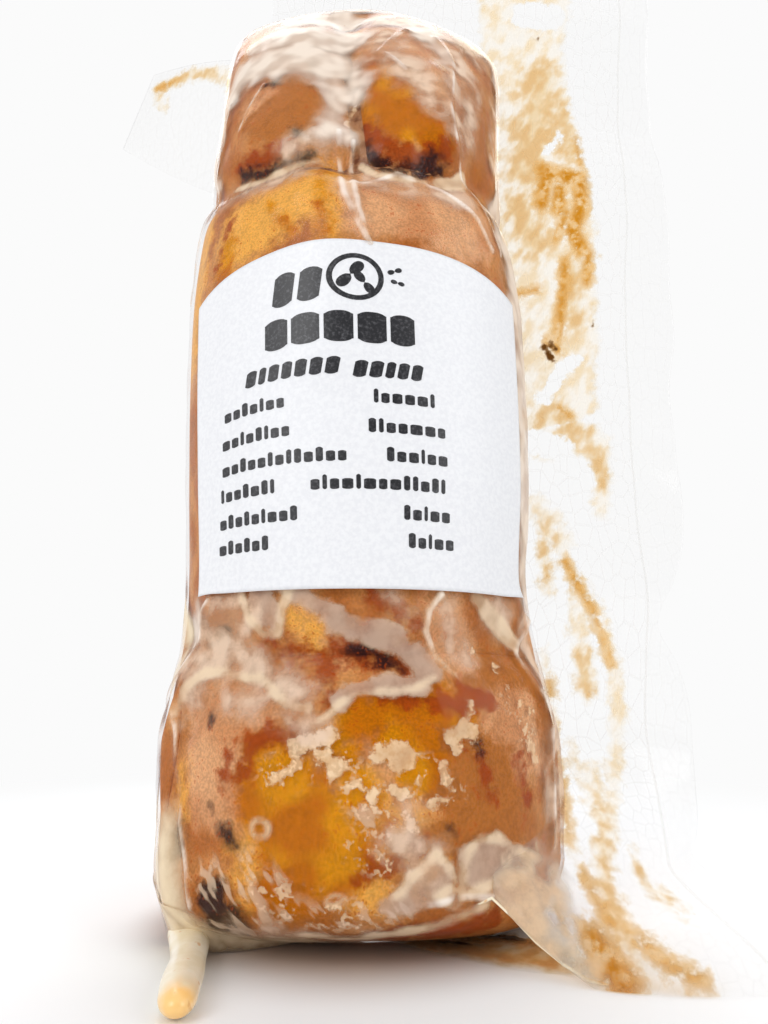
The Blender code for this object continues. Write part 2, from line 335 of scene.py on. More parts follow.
# %% [markdown]
# The marks on the food and on the film are painted with strokes: a stroke is half its
# width in mm and a line of (degrees, height) points. At each point of a mesh the painter
# keeps how many mm that point lies inside the nearest stroke. The material then adds a
# little noise to that number and fades it in about zero, which gives the torn, natural
# edges that a mesh of half a millimetre is too coarse for.

# %% The painter
FAR = -6.0


def painted(turn, height, strokes):
    """How far inside the nearest stroke each place is, in mm; minus is outside."""
    inside = np.full(np.shape(turn), FAR)
    for half_width, route in strokes:
        close = near_height(height, route, half_width - FAR)
        distance = line_distance(near_turn(turn[close], route), height[close], route)
        inside[close] = np.maximum(inside[close], half_width - distance)
    return inside


def mirrored(strokes, middle=180.0, squeeze=1.0, rise=0.0):
    """The same strokes turned round to the back of the pack."""
    return tuple((half_width, tuple((middle - squeeze * turn, height + rise)
                                    for turn, height in route))
                 for half_width, route in strokes)


# %% [markdown]
# Materials are node trees. A small kit keeps them readable: `node` adds a node and plugs
# its inputs, `fade` is a smooth step, `mix` blends two colours, `painted_patch` reads a
# painted number and tears its edge with a little noise, and `over` lays shaders in layers.


# %% Helpers for materials
def srgb(red, green, blue):
    """A colour given as on a screen, from 0 to 255, as Blender's linear colour."""
    parts = []
    for level in (red, green, blue):
        level /= 255.0
        parts.append(level / 12.92 if level <= 0.04045 else ((level + 0.055) / 1.055) ** 2.4)
    return (*parts, 1.0)


def start_material(name):
    """A new material, its emptied node tree and the output that tells each place."""
    material = bpy.data.materials.new(name)
    material.use_nodes = True
    tree = material.node_tree
    tree.nodes.clear()
    return material, tree, node(tree, "ShaderNodeTexCoord").outputs["Object"]


def node(tree, kind, plugs=None, **settings):
    """A new node; a plug is a value for an input, or another node's output."""
    made = tree.nodes.new(kind)
    for name, value in settings.items():
        setattr(made, name, value)
    for name, value in (plugs or {}).items():
        if isinstance(value, bpy.types.NodeSocket):
            tree.links.new(value, made.inputs[name])
        else:
            made.inputs[name].default_value = value
    return made


def maths(tree, operation, first, second=0.0, third=0.0):
    made = node(tree, "ShaderNodeMath", {0: first, 1: second, 2: third}, operation=operation)
    return made.outputs[0]


def times(tree, first, second):
    return maths(tree, "MULTIPLY", first, second)


def fade(tree, value, low, high, start=0.0, end=1.0):
    """A smooth step from start to end while the value goes from low to high."""
    made = node(tree, "ShaderNodeMapRange", {"Value": value, "From Min": low, "From Max": high,
                                             "To Min": start, "To Max": end},
                interpolation_type="SMOOTHSTEP")
    return made.outputs["Result"]


def mix(tree, share, first, second):
    made = node(tree, "ShaderNodeMix", {"Factor": share, 6: first, 7: second},
                data_type="RGBA")
    return made.outputs[2]


def noise(tree, place, size, detail=4.0, rough=0.55, stretch=None, turn=(0.0, 0.0, 0.0)):
    """Noise whose blotches are about `size` mm across; stretch and turn make streaks."""
    if stretch:
        place = node(tree, "ShaderNodeVectorRotate", {"Vector": place, "Rotation": turn},
                     rotation_type="EULER_XYZ").outputs[0]
        place = node(tree, "ShaderNodeMapping", {"Vector": place, "Scale": stretch}).outputs[0]
    made = node(tree, "ShaderNodeTexNoise", {"Vector": place, "Scale": 1.0 / (size * MM),
                                             "Detail": detail, "Roughness": rough})
    return made.outputs["Fac"]


def field(tree, name):
    return node(tree, "ShaderNodeAttribute", attribute_name=name).outputs["Fac"]


def ragged(tree, name, grain, tear):
    """A painted number with noise added, so that its edge is torn by about `tear` mm."""
    shift = maths(tree, "MULTIPLY_ADD", grain, 5.0 * tear, -2.5 * tear)
    return maths(tree, "ADD", field(tree, name), shift)


def painted_patch(tree, name, grain, tear, low, high, start=0.0, end=1.0):
    """A ragged painted number faded in between two depths, in mm."""
    return fade(tree, ragged(tree, name, grain, tear), low, high, start, end)


def blend(tree, share, first, second):
    """A number between first and second."""
    made = node(tree, "ShaderNodeMix", {"Factor": share, 2: first, 3: second})
    return made.outputs[0]


def gloss_share(tree, straight_on, edge_on):
    """How much a film shines: little straight on, and more where it is seen edge-on."""
    facing = node(tree, "ShaderNodeLayerWeight", {"Blend": 0.5}).outputs["Facing"]
    power = maths(tree, "POWER", facing, 4.0)
    return maths(tree, "MULTIPLY_ADD", power, edge_on - straight_on, straight_on)


def over(tree, share, under, upper):
    """A share of the upper shader laid over the one under it."""
    return node(tree, "ShaderNodeMixShader",
                {0: share, 1: under.outputs[0], 2: upper.outputs[0]})


def close_material(tree, shader):
    node(tree, "ShaderNodeOutputMaterial", {"Surface": shader.outputs[0]})


def either(tree, *shares):
    """The share that is covered when several thin layers lie over each other."""
    clear = maths(tree, "SUBTRACT", 1.0, shares[0])
    for share in shares[1:]:
        clear = times(tree, clear, maths(tree, "SUBTRACT", 1.0, share))
    return maths(tree, "SUBTRACT", 1.0, clear)


# %% [markdown]
# The camera stands low and close, and looks slightly up at the pack, so the top leans away
# and the foot looks wide.
# The room is white, but a mirror-like film would look milky if it mirrored white from all
# sides. So the room is white for the camera and for soft light, and for reflections it is
# bright only at the two sides and above, as with two tall panels and one overhead. That
# keeps the food's colour deep and puts the shine on the creases and the edges.

# %% Camera, room and lamps
EYE = (0.0036, -0.0990, 0.0277)
LOOK_UP = 13.0
LENS = 26.02
SOFT_LIGHT = 0.64
SEEN_LIGHT = 0.965
MIRRORED_DARK, MIRRORED_BRIGHT = 0.05, 1.0


def add_camera():
    bpy.ops.object.camera_add(location=EYE, rotation=(math.radians(90 + LOOK_UP), 0, 0))
    camera = bpy.context.object
    camera.data.lens = LENS
    camera.data.sensor_width = 36.0
    camera.data.clip_start = 0.001
    bpy.context.scene.camera = camera


def add_room():
    bpy.context.scene.view_settings.view_transform = "Standard"
    world = bpy.data.worlds.new("white_room")
    bpy.context.scene.world = world
    world.use_nodes = True
    tree = world.node_tree
    ray = node(tree, "ShaderNodeLightPath")
    way = node(tree, "ShaderNodeTexCoord").outputs["Generated"]
    way = node(tree, "ShaderNodeSeparateXYZ", {0: way})
    sides = fade(tree, maths(tree, "ABSOLUTE", way.outputs["X"]), 0.45, 0.85)
    above = fade(tree, way.outputs["Z"], 0.55, 0.90)
    behind = fade(tree, way.outputs["Y"], 0.10, 0.50)
    bright = maths(tree, "MAXIMUM", maths(tree, "MAXIMUM", sides, above), behind)
    bright = fade(tree, bright, 0.0, 1.0, MIRRORED_DARK, MIRRORED_BRIGHT)
    strength = blend(tree, ray.outputs["Is Glossy Ray"], SOFT_LIGHT, bright)
    strength = blend(tree, ray.outputs["Is Camera Ray"], strength, SEEN_LIGHT)
    background = tree.nodes["Background"]
    background.inputs["Color"].default_value = (1.0, 1.0, 1.0, 1.0)
    tree.links.new(strength, background.inputs["Strength"])


def add_lamp(name, place, size, watts, target=(0.0, 0.0, 0.07)):
    bpy.ops.object.light_add(type="AREA", location=place)
    lamp = bpy.context.object
    lamp.name = name
    lamp.data.shape = "RECTANGLE"
    lamp.data.size, lamp.data.size_y = size
    lamp.data.energy = watts
    aim = Vector(target) - lamp.location
    lamp.rotation_euler = aim.to_track_quat("-Z", "Y").to_euler()


add_camera()
add_room()
add_lamp("front_left_panel", (-0.42, -0.55, 0.45), (0.45, 0.45), 2.4)
add_lamp("right_panel", (0.55, -0.30, 0.35), (0.35, 0.45), 1.1)
add_lamp("top_panel", (0.0, 0.38, 0.62), (0.55, 0.45), 2.4)
print("camera at", EYE, "looking up by", LOOK_UP, "degrees")

# %% [markdown]
# ## The plantain
# Ripe plantain fries to a soft piece whose cut faces are amber and see-through where oil
# and juice wet them, pinkish tan where they dried, and scorched brown or nearly black along
# the edges. Pressed by the film, each piece takes the bag's shape outside and a rounded
# edge where it meets its neighbour. So each piece starts as a ball and every point is
# pushed outwards until it meets the film or the plane of a neighbour.

# %% Pressing a piece into the bag
SLACK = 0.45           # juice between the food and the skin
BALL_FINENESS = 7      # how often the ball's triangles are divided
TOP_SLACK = 0.6        # room under the place where the two films meet
LONGEST = 95.0         # no point is further than this from the middle of its piece


def smooth_larger(first, second, rounding):
    """The larger of two distances, with the corner between them rounded off."""
    meet = np.maximum(rounding - np.abs(first - second), 0.0) / rounding
    return np.maximum(first, second) + meet * meet * rounding / 4.0


def wobble(points, size, lift):
    """A slow unevenness, so that no face is a perfect plane."""
    x, y, z = points.T / size
    return lift * (np.sin(1.7 * x + 0.6 * y + 2.0) + np.sin(1.3 * y - 0.9 * z + 0.5)
                   + np.sin(1.1 * z + 0.8 * x + 4.0)) / 3.0


def press_into_bag(piece, centre, walls, slack, rounding):
    """Pushes the points of a ball out from the centre to the film and to the walls."""
    ways = points_of(piece)
    ways /= np.linalg.norm(ways, axis=1, keepdims=True)
    centre = np.array(centre, dtype=float)
    near, far = np.zeros(len(ways)), np.full(len(ways), LONGEST)
    for _ in range(22):
        middle = (near + far) / 2.0
        spots = centre + ways * middle[:, None]
        turn, height, outside = on_body(spots)
        beyond = np.maximum(outside + slack, height - BODY_TOP + TOP_SLACK)
        for place, direction in walls:
            direction = np.array(direction, dtype=float)
            direction /= np.linalg.norm(direction)
            sign = 1.0 if direction.sum() > 0.0 else -1.0
            past = (spots - np.array(place)) @ direction + sign * wobble(spots, 6.0, 0.35)
            beyond = smooth_larger(beyond, past, rounding)
        out = beyond > 0.0
        far = np.where(out, middle, far)
        near = np.where(out, near, middle)
    move_points(piece, centre + ways * ((near + far) / 2.0)[:, None])


def new_filling(name, centre, walls, slack, rounding):
    """A ball pressed into the bag; rounding says how round it is where two sides meet."""
    bpy.ops.object.select_all(action="DESELECT")
    bpy.ops.mesh.primitive_ico_sphere_add(subdivisions=BALL_FINENESS, radius=1.0)
    piece = take_new(name)
    press_into_bag(piece, centre, walls, slack, rounding)
    return piece


# %% [markdown]
# Where the pieces meet follows the clefts in the skin: two pieces stand side by side at the
# top, one long piece fills the middle under the label, and the foot holds a big piece in
# front, a smaller one at the left and another behind. A wall is a point on the plane and
# the direction in which the piece may not pass it.

# %% The six pieces
FOOT = ((0, 0, 0.8), (0, 0, -1))
HEAD = ((0, 0, BODY_TOP + 0.2), (0, 0, 1))
# centre, how round the edges are, and the walls
FILLINGS = {
    "plantain_upper_left": ((-11, 0, 107), 1.9, (((-1.7, 0, 104), (1.0, 0.06, 0.10)),
                                                 ((0, 0, 93.0), (0.02, 0.04, -1.0)), HEAD)),
    "plantain_upper_right": ((10, 0, 106), 1.9, (((-1.0, 0, 104), (-1.0, -0.06, -0.12)),
                                                 ((0, 0, 91.6), (-0.02, -0.04, -1.0)), HEAD)),
    "plantain_middle": ((0, 0, 61), 1.3, (((0, 0, 92.4), (-0.02, 0.02, 1.0)),
                                          ((0, 0, 29.4), (0.02, -0.03, -1.0)))),
    "plantain_lower_front": ((2, -5, 15), 0.8, (((0, 0, 30.2), (-0.02, 0.03, 1.0)), FOOT,
                                                ((0, 6.5, 15), (0.1, 1.0, 0.1)),
                                                ((-18.6, -6, 14), (-1.0, 0.35, 0.05)))),
    "plantain_lower_left": ((-19, 3, 15), 0.8, (((0, 0, 30.0), (0, 0, 1.0)), FOOT,
                                                ((-18.4, -6, 14), (1.0, -0.35, -0.05)),
                                                ((-12, 7, 15), (0.75, 0.6, 0.0)))),
    "plantain_lower_back": ((2, 14, 15), 1.2, (((0, 0, 30.6), (0.02, 0, 1.0)), FOOT,
                                               ((0, 7.0, 15), (-0.1, -1.0, -0.1)),
                                               ((-13, 8, 15), (-0.75, -0.6, 0.0)))),
}

# %% [markdown]
# The colours of the pieces are painted in patches: amber wet patches, golden and pinkish
# tan faces, a brown ring where the pan scorched the big piece, nearly black edges, and a
# low brown band on the front of the foot that is partly scorch and partly painted shade.

# %% Strokes on the food
AMBER = (
    (4.4, ((-17, 17), (-12, 14), (-8, 10.5))), (3.4, ((-5, 14.5), (-2, 11.5), (-12, 8.5))),
    (2.4, ((-24, 18), (-21, 15))), (1.8, ((-24, 20.8), (-17, 22.4))),
    (2.0, ((-4, 22), (2, 25), (6, 24))), (2.4, ((9, 25.4), (20, 25.8), (27, 25))),
    (2.4, ((11, 22), (18, 21.4), (17, 18.5))), (1.3, ((0, 21), (3, 17), (7, 12.5))),
    (3.8, ((7, 106), (12, 103), (18, 99.5))), (3.0, ((20, 101), (26, 98), (30, 97))),
    (2.0, ((3.5, 101), (5, 97.4))), (0.6, ((-12, 93.6), (-10, 86.5), (-8.5, 80))),
    (0.7, ((-28, 86.6), (-24, 84), (-19, 82))), (1.8, ((-52, 125), (-58, 122))),
    (1.6, ((-45, 83), (-47, 79))), (1.4, ((-7, 124), (1, 124.6), (-3, 121))),
    (5.0, ((150, 55), (165, 68))), (4.0, ((212, 60), (224, 48))),
)
GOLD = (
    (4.8, ((-40, 83.5), (-26, 85.5), (-15, 87.5))), (3.0, ((-66, 88), (-70, 70))),
    (1.2, ((-18, 35.0), (-10, 33.5))), (7.0, ((120, 80), (128, 52))),
    (6.0, ((190, 78), (200, 66))), (1.6, ((-25, 11), (-21, 8))), (1.8, ((13, 14), (17, 9))),
    (2.0, ((2, 18), (6, 14), (4, 8))), (1.4, ((-11.5, 32.2), (-10.5, 31.6))),
    (0.7, ((-52, 18), (-50, 14))), (2.0, ((-10, 91), (-9, 84))), (1.0, ((-8, 90), (-7, 79))),
)
ROSY = (
    (4.2, ((-44, 25), (-38, 21), (-38, 17))), (3.0, ((-30, 25.4), (-23, 25))),
    (3.0, ((44, 24), (50, 24), (54, 20))), (6.0, ((4, 86), (18, 87), (36, 85))),
    (4.6, ((10, 119), (26, 117), (38, 114))), (2.4, ((27, 111), (33, 106))),
    (3.0, ((28, 35), (31, 31.5))), (4.0, ((70, 86), (84, 60), (76, 44))),
    (7.0, ((170, 84), (176, 44))), (5.0, ((236, 80), (244, 54))), (1.6, ((-14, 35), (-4, 31))),
    (1.6, ((8, 21), (13, 19), (15, 15))), (1.6, ((-44, 105), (-36, 107))),
)
TAN = (
    (5.0, ((24, 17), (32, 14), (42, 15), (36, 19))), (3.4, ((56, 30), (64, 18))),
    (3.0, ((50, 112), (54, 98))), (5.0, ((98, 70), (104, 48))), (2.6, ((-24, 5.6), (-6, 4.6))),
    (2.4, ((34, 28), (44, 29))), (4.4, ((-36, 103), (-24, 100), (-22, 106))),
)
SCORCH_AND_SHADE = (
    (1.3, ((-28, 18.4), (-26.5, 20.6), (-20, 22.6), (-15, 22.8), (-13, 21.9))),
    (0.9, ((9, 26.2), (15, 26), (22, 26), (29, 25))), (1.4, ((31, 26.6), (38, 25.6))),
    (1.2, ((7, 36.5), (19, 34))), (0.9, ((-5, 126), (8, 124.6))),
    (1.2, ((-46, 96), (-36, 95), (-22, 95.2))),
    (2.0, ((3, 97.6), (8, 94.8), (15, 93.4), (24, 93.4), (32, 95.6))),
    (0.6, ((48, 19.5), (50, 17.4), (53, 15))), (0.8, ((-32, 20), (-33, 17.5))),
    (1.2, ((-24, 32), (-18, 31), (-5, 29.8))), (1.6, ((-4, 31.2), (8, 31), (16, 29.6))),
    (1.2, ((5, 9.6), (12, 10.8), (18, 12.4))), (0.9, ((34, 20), (36, 16.6))),
    (0.6, ((-46, 86), (-52, 80))), (1.0, ((-7, 29), (-5, 26))), (0.8, ((10, 36.8), (14, 33.6))),
    # the last stroke, low on the foot's front right, is partly scorch and partly painted shade
    (1.6, ((6, 3.0), (20, 3.4), (32, 4.4))),
)
CHAR = (
    (0.9, ((-46, 94.4), (-41, 93.8))), (0.5, ((-41, 93.6), (-34, 93.2), (-24, 93.6), (-16, 94))),
    (0.9, ((2.5, 95.4), (6, 93.2), (13, 91.9), (22, 91.8), (33, 93.4))),
    (1.0, ((26, 93.4), (30, 94.4))), (0.35, ((0, 106), (0, 100), (1, 96.4))),
    (0.3, ((-36, 108.3), (-31, 108.0))), (0.6, ((-22, 98), (-18, 96.6))),
    (0.35, ((-18, 112.5), (-17.5, 110.2))), (0.6, ((0, 31.1), (4, 31.1), (8, 30.4), (13, 29.4))),
    (0.5, ((-48, 32.6), (-40, 33.6))), (0.5, ((-32, 13), (-28, 11.6))),
    (2.0, ((-33, 6.2), (-30, 4.6), (-26, 3.8), (-32, 2.4))), (0.5, ((-51, 12.5), (-50, 10))),
    (0.3, ((33, 21.4), (34, 20.4))), (0.25, ((24, 13),)), (0.35, ((-42, 24),)),
    (0.3, ((-38, 15),)),
)
FOOD_STROKES = {
    "amber": AMBER + mirrored(AMBER[:8], 185, 1.1, 1.0),
    "gold": GOLD + mirrored(GOLD[:2], 176, 1.2, 1.0),
    "rosy": ROSY + mirrored(ROSY[:5], 178, 1.15, -0.5),
    "tan": TAN + mirrored(TAN, 186, 1.0, 2.0),
    "scorch_and_shade": SCORCH_AND_SHADE + mirrored(SCORCH_AND_SHADE, 183, 1.2, 0.5),
    "char": CHAR + mirrored(CHAR, 181, 1.2, 0.5),
}

# %% The finish of fried plantain
BROWN_FACE = srgb(172, 100, 44)
ORANGE_FACE = srgb(198, 134, 76)
TAN_FACE = srgb(172, 102, 40)
ROSY_FACE = srgb(196, 134, 88)
ROSY_PALE = srgb(214, 158, 112)
GOLD_FACE = srgb(226, 162, 72)
AMBER_FACE = srgb(182, 101, 0)
AMBER_BRIGHT = srgb(206, 133, 2)
SCORCH_AND_SHADE_BROWN = srgb(146, 56, 4)
CHARRED = srgb(40, 20, 20)


def make_plantain_finish():
    material, tree, place = start_material("fried_plantain")
    broad = noise(tree, place, 6.0, 1.0)
    torn = noise(tree, place, 1.8, 3.0, 0.60)
    fine = noise(tree, place, 0.30, 0.0)
    colour = mix(tree, fade(tree, broad, 0.38, 0.62), BROWN_FACE, ORANGE_FACE)
    rosy = mix(tree, fade(tree, broad, 0.36, 0.64), ROSY_FACE, ROSY_PALE)
    amber = mix(tree, fade(tree, broad, 0.42, 0.60), AMBER_FACE, AMBER_BRIGHT)
    # strokes, how far their edge is torn, the depths they fade in between, their cover
    for name, tear, low, high, most, tint in (
            ("tan", 1.2, -1.4, 1.4, 1.0, TAN_FACE), ("rosy", 1.0, -1.3, 1.3, 1.0, rosy),
            ("gold", 1.2, -1.6, 1.6, 1.0, GOLD_FACE), ("amber", 0.9, -0.8, 1.0, 1.0, amber),
            ("scorch_and_shade", 1.3, -0.8, 1.1, 0.9, SCORCH_AND_SHADE_BROWN), ("char", 0.8, -0.9, 0.7, 0.95, CHARRED)):
        share = painted_patch(tree, name, torn, tear, low, high, 0.0, most)
        colour = mix(tree, share, colour, tint)
    pits = fade(tree, maths(tree, "ADD", fine, torn), 1.22, 1.32, 0.0, 0.55)
    colour = mix(tree, pits, colour, SCORCH_AND_SHADE_BROWN)
    mottle = times(tree, fade(tree, fine, 0.3, 0.7, 0.88, 1.12),
                   fade(tree, torn, 0.3, 0.7, 0.90, 1.08))
    colour = node(tree, "ShaderNodeVectorMath", {0: colour, "Scale": mottle},
                  operation="SCALE").outputs[0]
    bump = node(tree, "ShaderNodeBump", {"Height": torn, "Strength": 0.25,
                                         "Distance": 0.0003})
    shader = node(tree, "ShaderNodeBsdfPrincipled",
                  {"Base Color": colour, "Roughness": 0.5, "Specular IOR Level": 0.05,
                   "Normal": bump.outputs[0]})
    close_material(tree, shader)
    return material


plantain_finish = make_plantain_finish()
for name, (centre, rounding, walls) in FILLINGS.items():
    piece = new_filling(name, centre, walls, SLACK, rounding)
    turn, height, outside = on_body(points_of(piece))
    for stroke_name, strokes in FOOD_STROKES.items():
        write_field(piece, stroke_name, painted(turn, height, strokes))
    finish_piece(piece, plantain_finish)

# %% [markdown]
# ## The fat and the shade in the clefts
# Fat and juice set in the clefts between the pieces. It is one soft core a little further
# inside the film than the food, so it only shows where the rounded edges of the pieces leave
# it room. Its dark brown is partly the fat and partly painted shade deep in the clefts.


# %% The fat and shade core
def make_fat_and_cleft_shade_finish():
    material, tree, place = start_material("set_fat_and_cleft_shade")
    cloud = noise(tree, place, 2.2, 3.0, 0.6)
    # dark brown: the fat, and painted shade deep in the clefts
    colour = mix(tree, fade(tree, cloud, 0.38, 0.62), srgb(108, 58, 30), srgb(170, 120, 80))
    shader = node(tree, "ShaderNodeBsdfPrincipled",
                  {"Base Color": colour, "Roughness": 0.5, "Specular IOR Level": 0.1})
    close_material(tree, shader)
    return material


FAT_SLACK = 0.9        # the core lies this far inside the skin
fat_and_shade_core = new_filling("fat_and_shade_core", (0, 0, 62), (FOOT, HEAD), FAT_SLACK, 1.5)
finish_piece(fat_and_shade_core, make_fat_and_cleft_shade_finish())

# %% [markdown]
# ## The film round the food
# The film is drawn tight, so it follows the food and keeps crisp creases where it had too
# much length. Inside it, fat is smeared in cream runs, torn drops, thin veils, white haze
# and fine flecks. The film is a fine tube with its ends closed; the creases are lifted out
# of its points, the smears are painted on it, and a white painted highlight runs along
# each crease.

# %% Creases and smears
def ring_route(turn, height, radius):
    """A small round route, for a bubble."""
    steps = [math.radians(30 * step) for step in range(13)]
    return tuple((turn + math.degrees(radius * math.cos(step) / MEAN_RADIUS),
                  height + radius * math.sin(step)) for step in steps)


# lift, spread and line of each crease
CREASES = (
    (0.55, 0.45, ((-6, 97.4), (-6, 93.1), (-3, 86), (1, 81.6), (4, 79.0))),
    (0.45, 0.40, ((-1, 96), (-2, 92), (1, 84.8), (3, 81), (5, 78.5))),
    (0.40, 0.50, ((30, 119), (37, 113), (34, 102.6), (37, 95.9), (45, 89.9), (52, 82))),
    (0.25, 0.40, ((-1, 88), (15, 91), (31, 89.6), (42, 86), (48, 82))),
    (0.55, 0.50, ((-46, 36.8), (-52, 33), (-60, 30.4), (-60, 26), (-55, 21), (-48, 17),
                  (-47, 13), (-43, 9.8), (-38, 5.5))),
    (0.60, 0.45, ((66, 35), (54, 31), (57, 27.9), (64, 23.8), (66, 16), (63, 10))),
    (0.30, 0.35, ((26, 37.2), (22, 35.6), (21, 33.2), (24, 30.8), (29, 28.6))),
    (0.35, 0.45, ((-57, 108), (-56, 101.4), (-66, 96), (-67, 88), (-69, 78))),
    (0.40, 0.35, ((16, 6.6), (24, 7.0), (33, 6.7), (42, 4.2), (50, 2.0))),
    (0.30, 0.35, ((18, 120.5), (8, 113), (17, 108.6))),
    (0.30, 0.35, ((-36, 107.6), (-41, 104.6), (-46, 101.4))),
    (0.50, 0.50, ((150, 122), (158, 104), (150, 92), (158, 80), (150, 60))),
    (0.45, 0.50, ((208, 118), (202, 100), (212, 88), (206, 60), (214, 40), (206, 22))),
    (0.50, 0.50, ((122, 36), (130, 26), (118, 14), (124, 5))),
    (0.40, 0.50, ((240, 44), (232, 30), (242, 14))),
)
# smooth runs of cream
CREAM = (
    (0.46, ((-33, 37.4), (-31, 34.6), (-26, 32.8), (-21.5, 33), (-19.4, 35.4), (-18, 37.4))),
    (0.40, ((-57, 24.5), (-53, 27.2), (-47, 28.8), (-40, 28.9), (-32, 28.2), (-26, 28.2),
            (-20, 26.6), (-16, 25.5), (-10, 25.2))),
    (0.22, ((-7, 24), (-3, 25.4), (1, 26.5), (8, 26.8), (16, 27.1), (23, 28.2))),
    (0.18, ((26, 37.2), (22, 35.6), (21, 33.2), (24, 30.8), (29, 28.6))),
    (1.0, ((39, 37), (43, 35.8), (50, 34), (55, 32.2))),
    (1.0, ((32, 90.8), (38, 91.2), (44, 93))),
    (0.4, ((-50, 92.6), (-38, 91.8), (-26, 92.2), (-14, 93))),
    (0.3, ((2, 92.4), (8, 90.8), (16, 90.2), (26, 90.6))),
    (0.34, ((18, 7.2), (22, 7.9), (25, 7.4), (22, 6.1), (18, 7.2))),
    (0.38, ((24, 7), (26, 9.2), (28, 11.1), (32, 12.2), (38, 11.9), (44, 10.6), (52, 9.3))),
    (0.34, ((9, 7.6), (15, 9.6), (20, 11.2), (22.5, 10), (24, 8.6))),
    (0.36, ((-6, 3.2), (2, 3.0), (12, 4.0), (23, 5.2), (30, 6.0))),
    (0.4, ((26, 7.2), (34, 7.9), (42, 7.8), (50, 8.6))), (0.20, ring_route(-21, 13.5, 0.8)),
    (0.14, ring_route(-2, 7.2, 0.5)), (0.14, ring_route(40, 9.9, 0.5)),
)
# torn patches and drops
PATCHES = (
    (0.8, ((-13, 21.2), (-8, 22), (-4, 22.4))), (0.5, ((-20, 17.4), (-16, 18.6), (-11, 20))),
    (0.8, ((-6, 20.6), (-2, 19.4))), (0.9, ((8, 20.8), (12, 21), (13.5, 19.9), (11, 19.4))),
    (0.40, ((16, 17.9),)), (0.36, ((13, 15.2),)), (0.40, ((12, 16.6),)),
    (0.40, ((9, 18), (12, 17))), (0.85, ((24.5, 22.3), (29, 22.9), (31.5, 22.6))),
    (0.40, ((28, 23.4), (31, 25.2))), (0.45, ((27, 22), (26, 21))),
    (0.50, ((22, 19.3), (23, 17.8))), (0.40, ((19.5, 15.8), (22.5, 16.1))), (0.34, ((24, 17.1),)),
    (0.4, ((38, 31),)), (0.6, ((54, 24.5),)), (0.6, ((55, 19.2), (53, 21))), (0.5, ((50, 25.5),)),
    (0.4, ((45, 29.6),)), (0.36, ((14, 14.2), (16, 13))), (0.5, ((-1, 101.6), (-4, 99))),
    (0.35, ((1, 18.6), (6, 16.4))), (0.6, ((49, 8), (52, 10))),
)
# thin smears with a paler rim
SMEARS = (
    (1.6, ((-27, 36.8), (-24.4, 34.9))), (1.6, ((30, 10.4), (35, 10.5), (41, 10.1), (48, 8.8))),
    (1.0, ((29, 8.9), (38, 8.8), (47, 8.0))), (1.2, ((14, 8.0), (19, 9.7), (21, 9.2))),
    (1.0, ((7, 6.8), (14, 7.2), (20, 7.6))), (0.9, ((-20, 38.4), (-10, 36.2), (0, 33.8))),
    (1.25, ((-3, 34.4), (11, 32.5), (20, 30.3), (23, 28.8))),
    (0.9, ((23, 28.6), (16, 27.6), (8, 27.3), (1, 27.0), (-2, 25.8))),
)
# soft veils
VEILS = (
    (0.5, ((-50, 91.2), (-38, 90.4), (-26, 90.8), (-14, 91.6))), (0.5, ((4, 89.8), (18, 88.8))),
    (1.2, ((44, 37), (50, 35))), (1.6, ((-85, 132.4), (0, 132.6), (85, 132.4))),
    (1.0, ((-62, 112), (-63, 103), (-66, 97))), (1.0, ((-24, 94.4), (-14, 95.6))),
    (2.0, ((8, 118), (14, 112), (20, 107), (30, 103))), (2.0, ((22, 121), (34, 117), (44, 111))),
    (1.2, ((34, 112), (37, 103), (40, 97))), (2.4, ((46, 119), (60, 120))),
    (1.2, ((48, 110), (44, 98))), (3.6, ((12, 127), (34, 124), (52, 121))),
    (1.4, ((70, 112), (66, 100))), (1.2, ((4, 89), (20, 88.6), (36, 88))),
    (0.2, ((9, 36.6), (18, 35.2))), (2.8, ((-54, 31.4), (-44, 33), (-36, 34.6))),
    (2.0, ((-46, 30), (-34, 30.2))), (1.0, ((-30, 30.6), (-18, 27.4), (-12, 26.6))),
    (1.2, ((-14, 24.6), (-10, 23.6))), (0.5, ((-24, 3.6), (-12, 3.0), (2, 2.8))),
    (1.4, ((64, 36), (68, 24), (66, 8))), (2.0, ((74, 30), (76, 8))),
    (0.9, ((-53, 25), (-48, 27))), (0.2, ((-4, 89), (1, 83))), (1.0, ((29, 35), (33, 31))),
    (1.2, ((-34, 26), (-26, 26.6))), (1.4, ((12, 14), (16, 11))),
)
# dense white haze
HAZES = (
    (4.2, ((-54, 113.2), (-40, 114.2), (-28, 113), (-17, 111.4), (-10, 111))),
    (4.6, ((-40, 120.6), (-24, 119.6), (-10, 118.4))), (3.6, ((-30, 127), (-10, 128))),
    (1.7, ((-9, 108), (-6, 104), (-9, 100.6), (-8, 97.6))), (1.6, ((-2, 112), (-1, 107))),
    (0.5, ((2, 108), (-1, 103))), (1.0, ((-74, 106), (-68, 97), (-72, 92))),
    (1.0, ((-12, 96.6), (-4, 96.4))), (0.8, ((56, 90), (62, 84), (64, 78))),
    (1.2, ((22, 122), (28, 118), (34, 113))),
    (3.6, ((82, 97), (74, 90), (70, 84), (69, 77), (72, 70), (70, 62), (72, 54), (73, 46),
           (75, 40))), (4.6, ((90, 92), (84, 76), (84, 56), (86, 42))),
    (2.2, ((56, 126), (70, 121), (78, 114))), (0.6, ((72, 40), (68, 35))),
    (1.0, ((-62, 33), (-56, 36))),
)
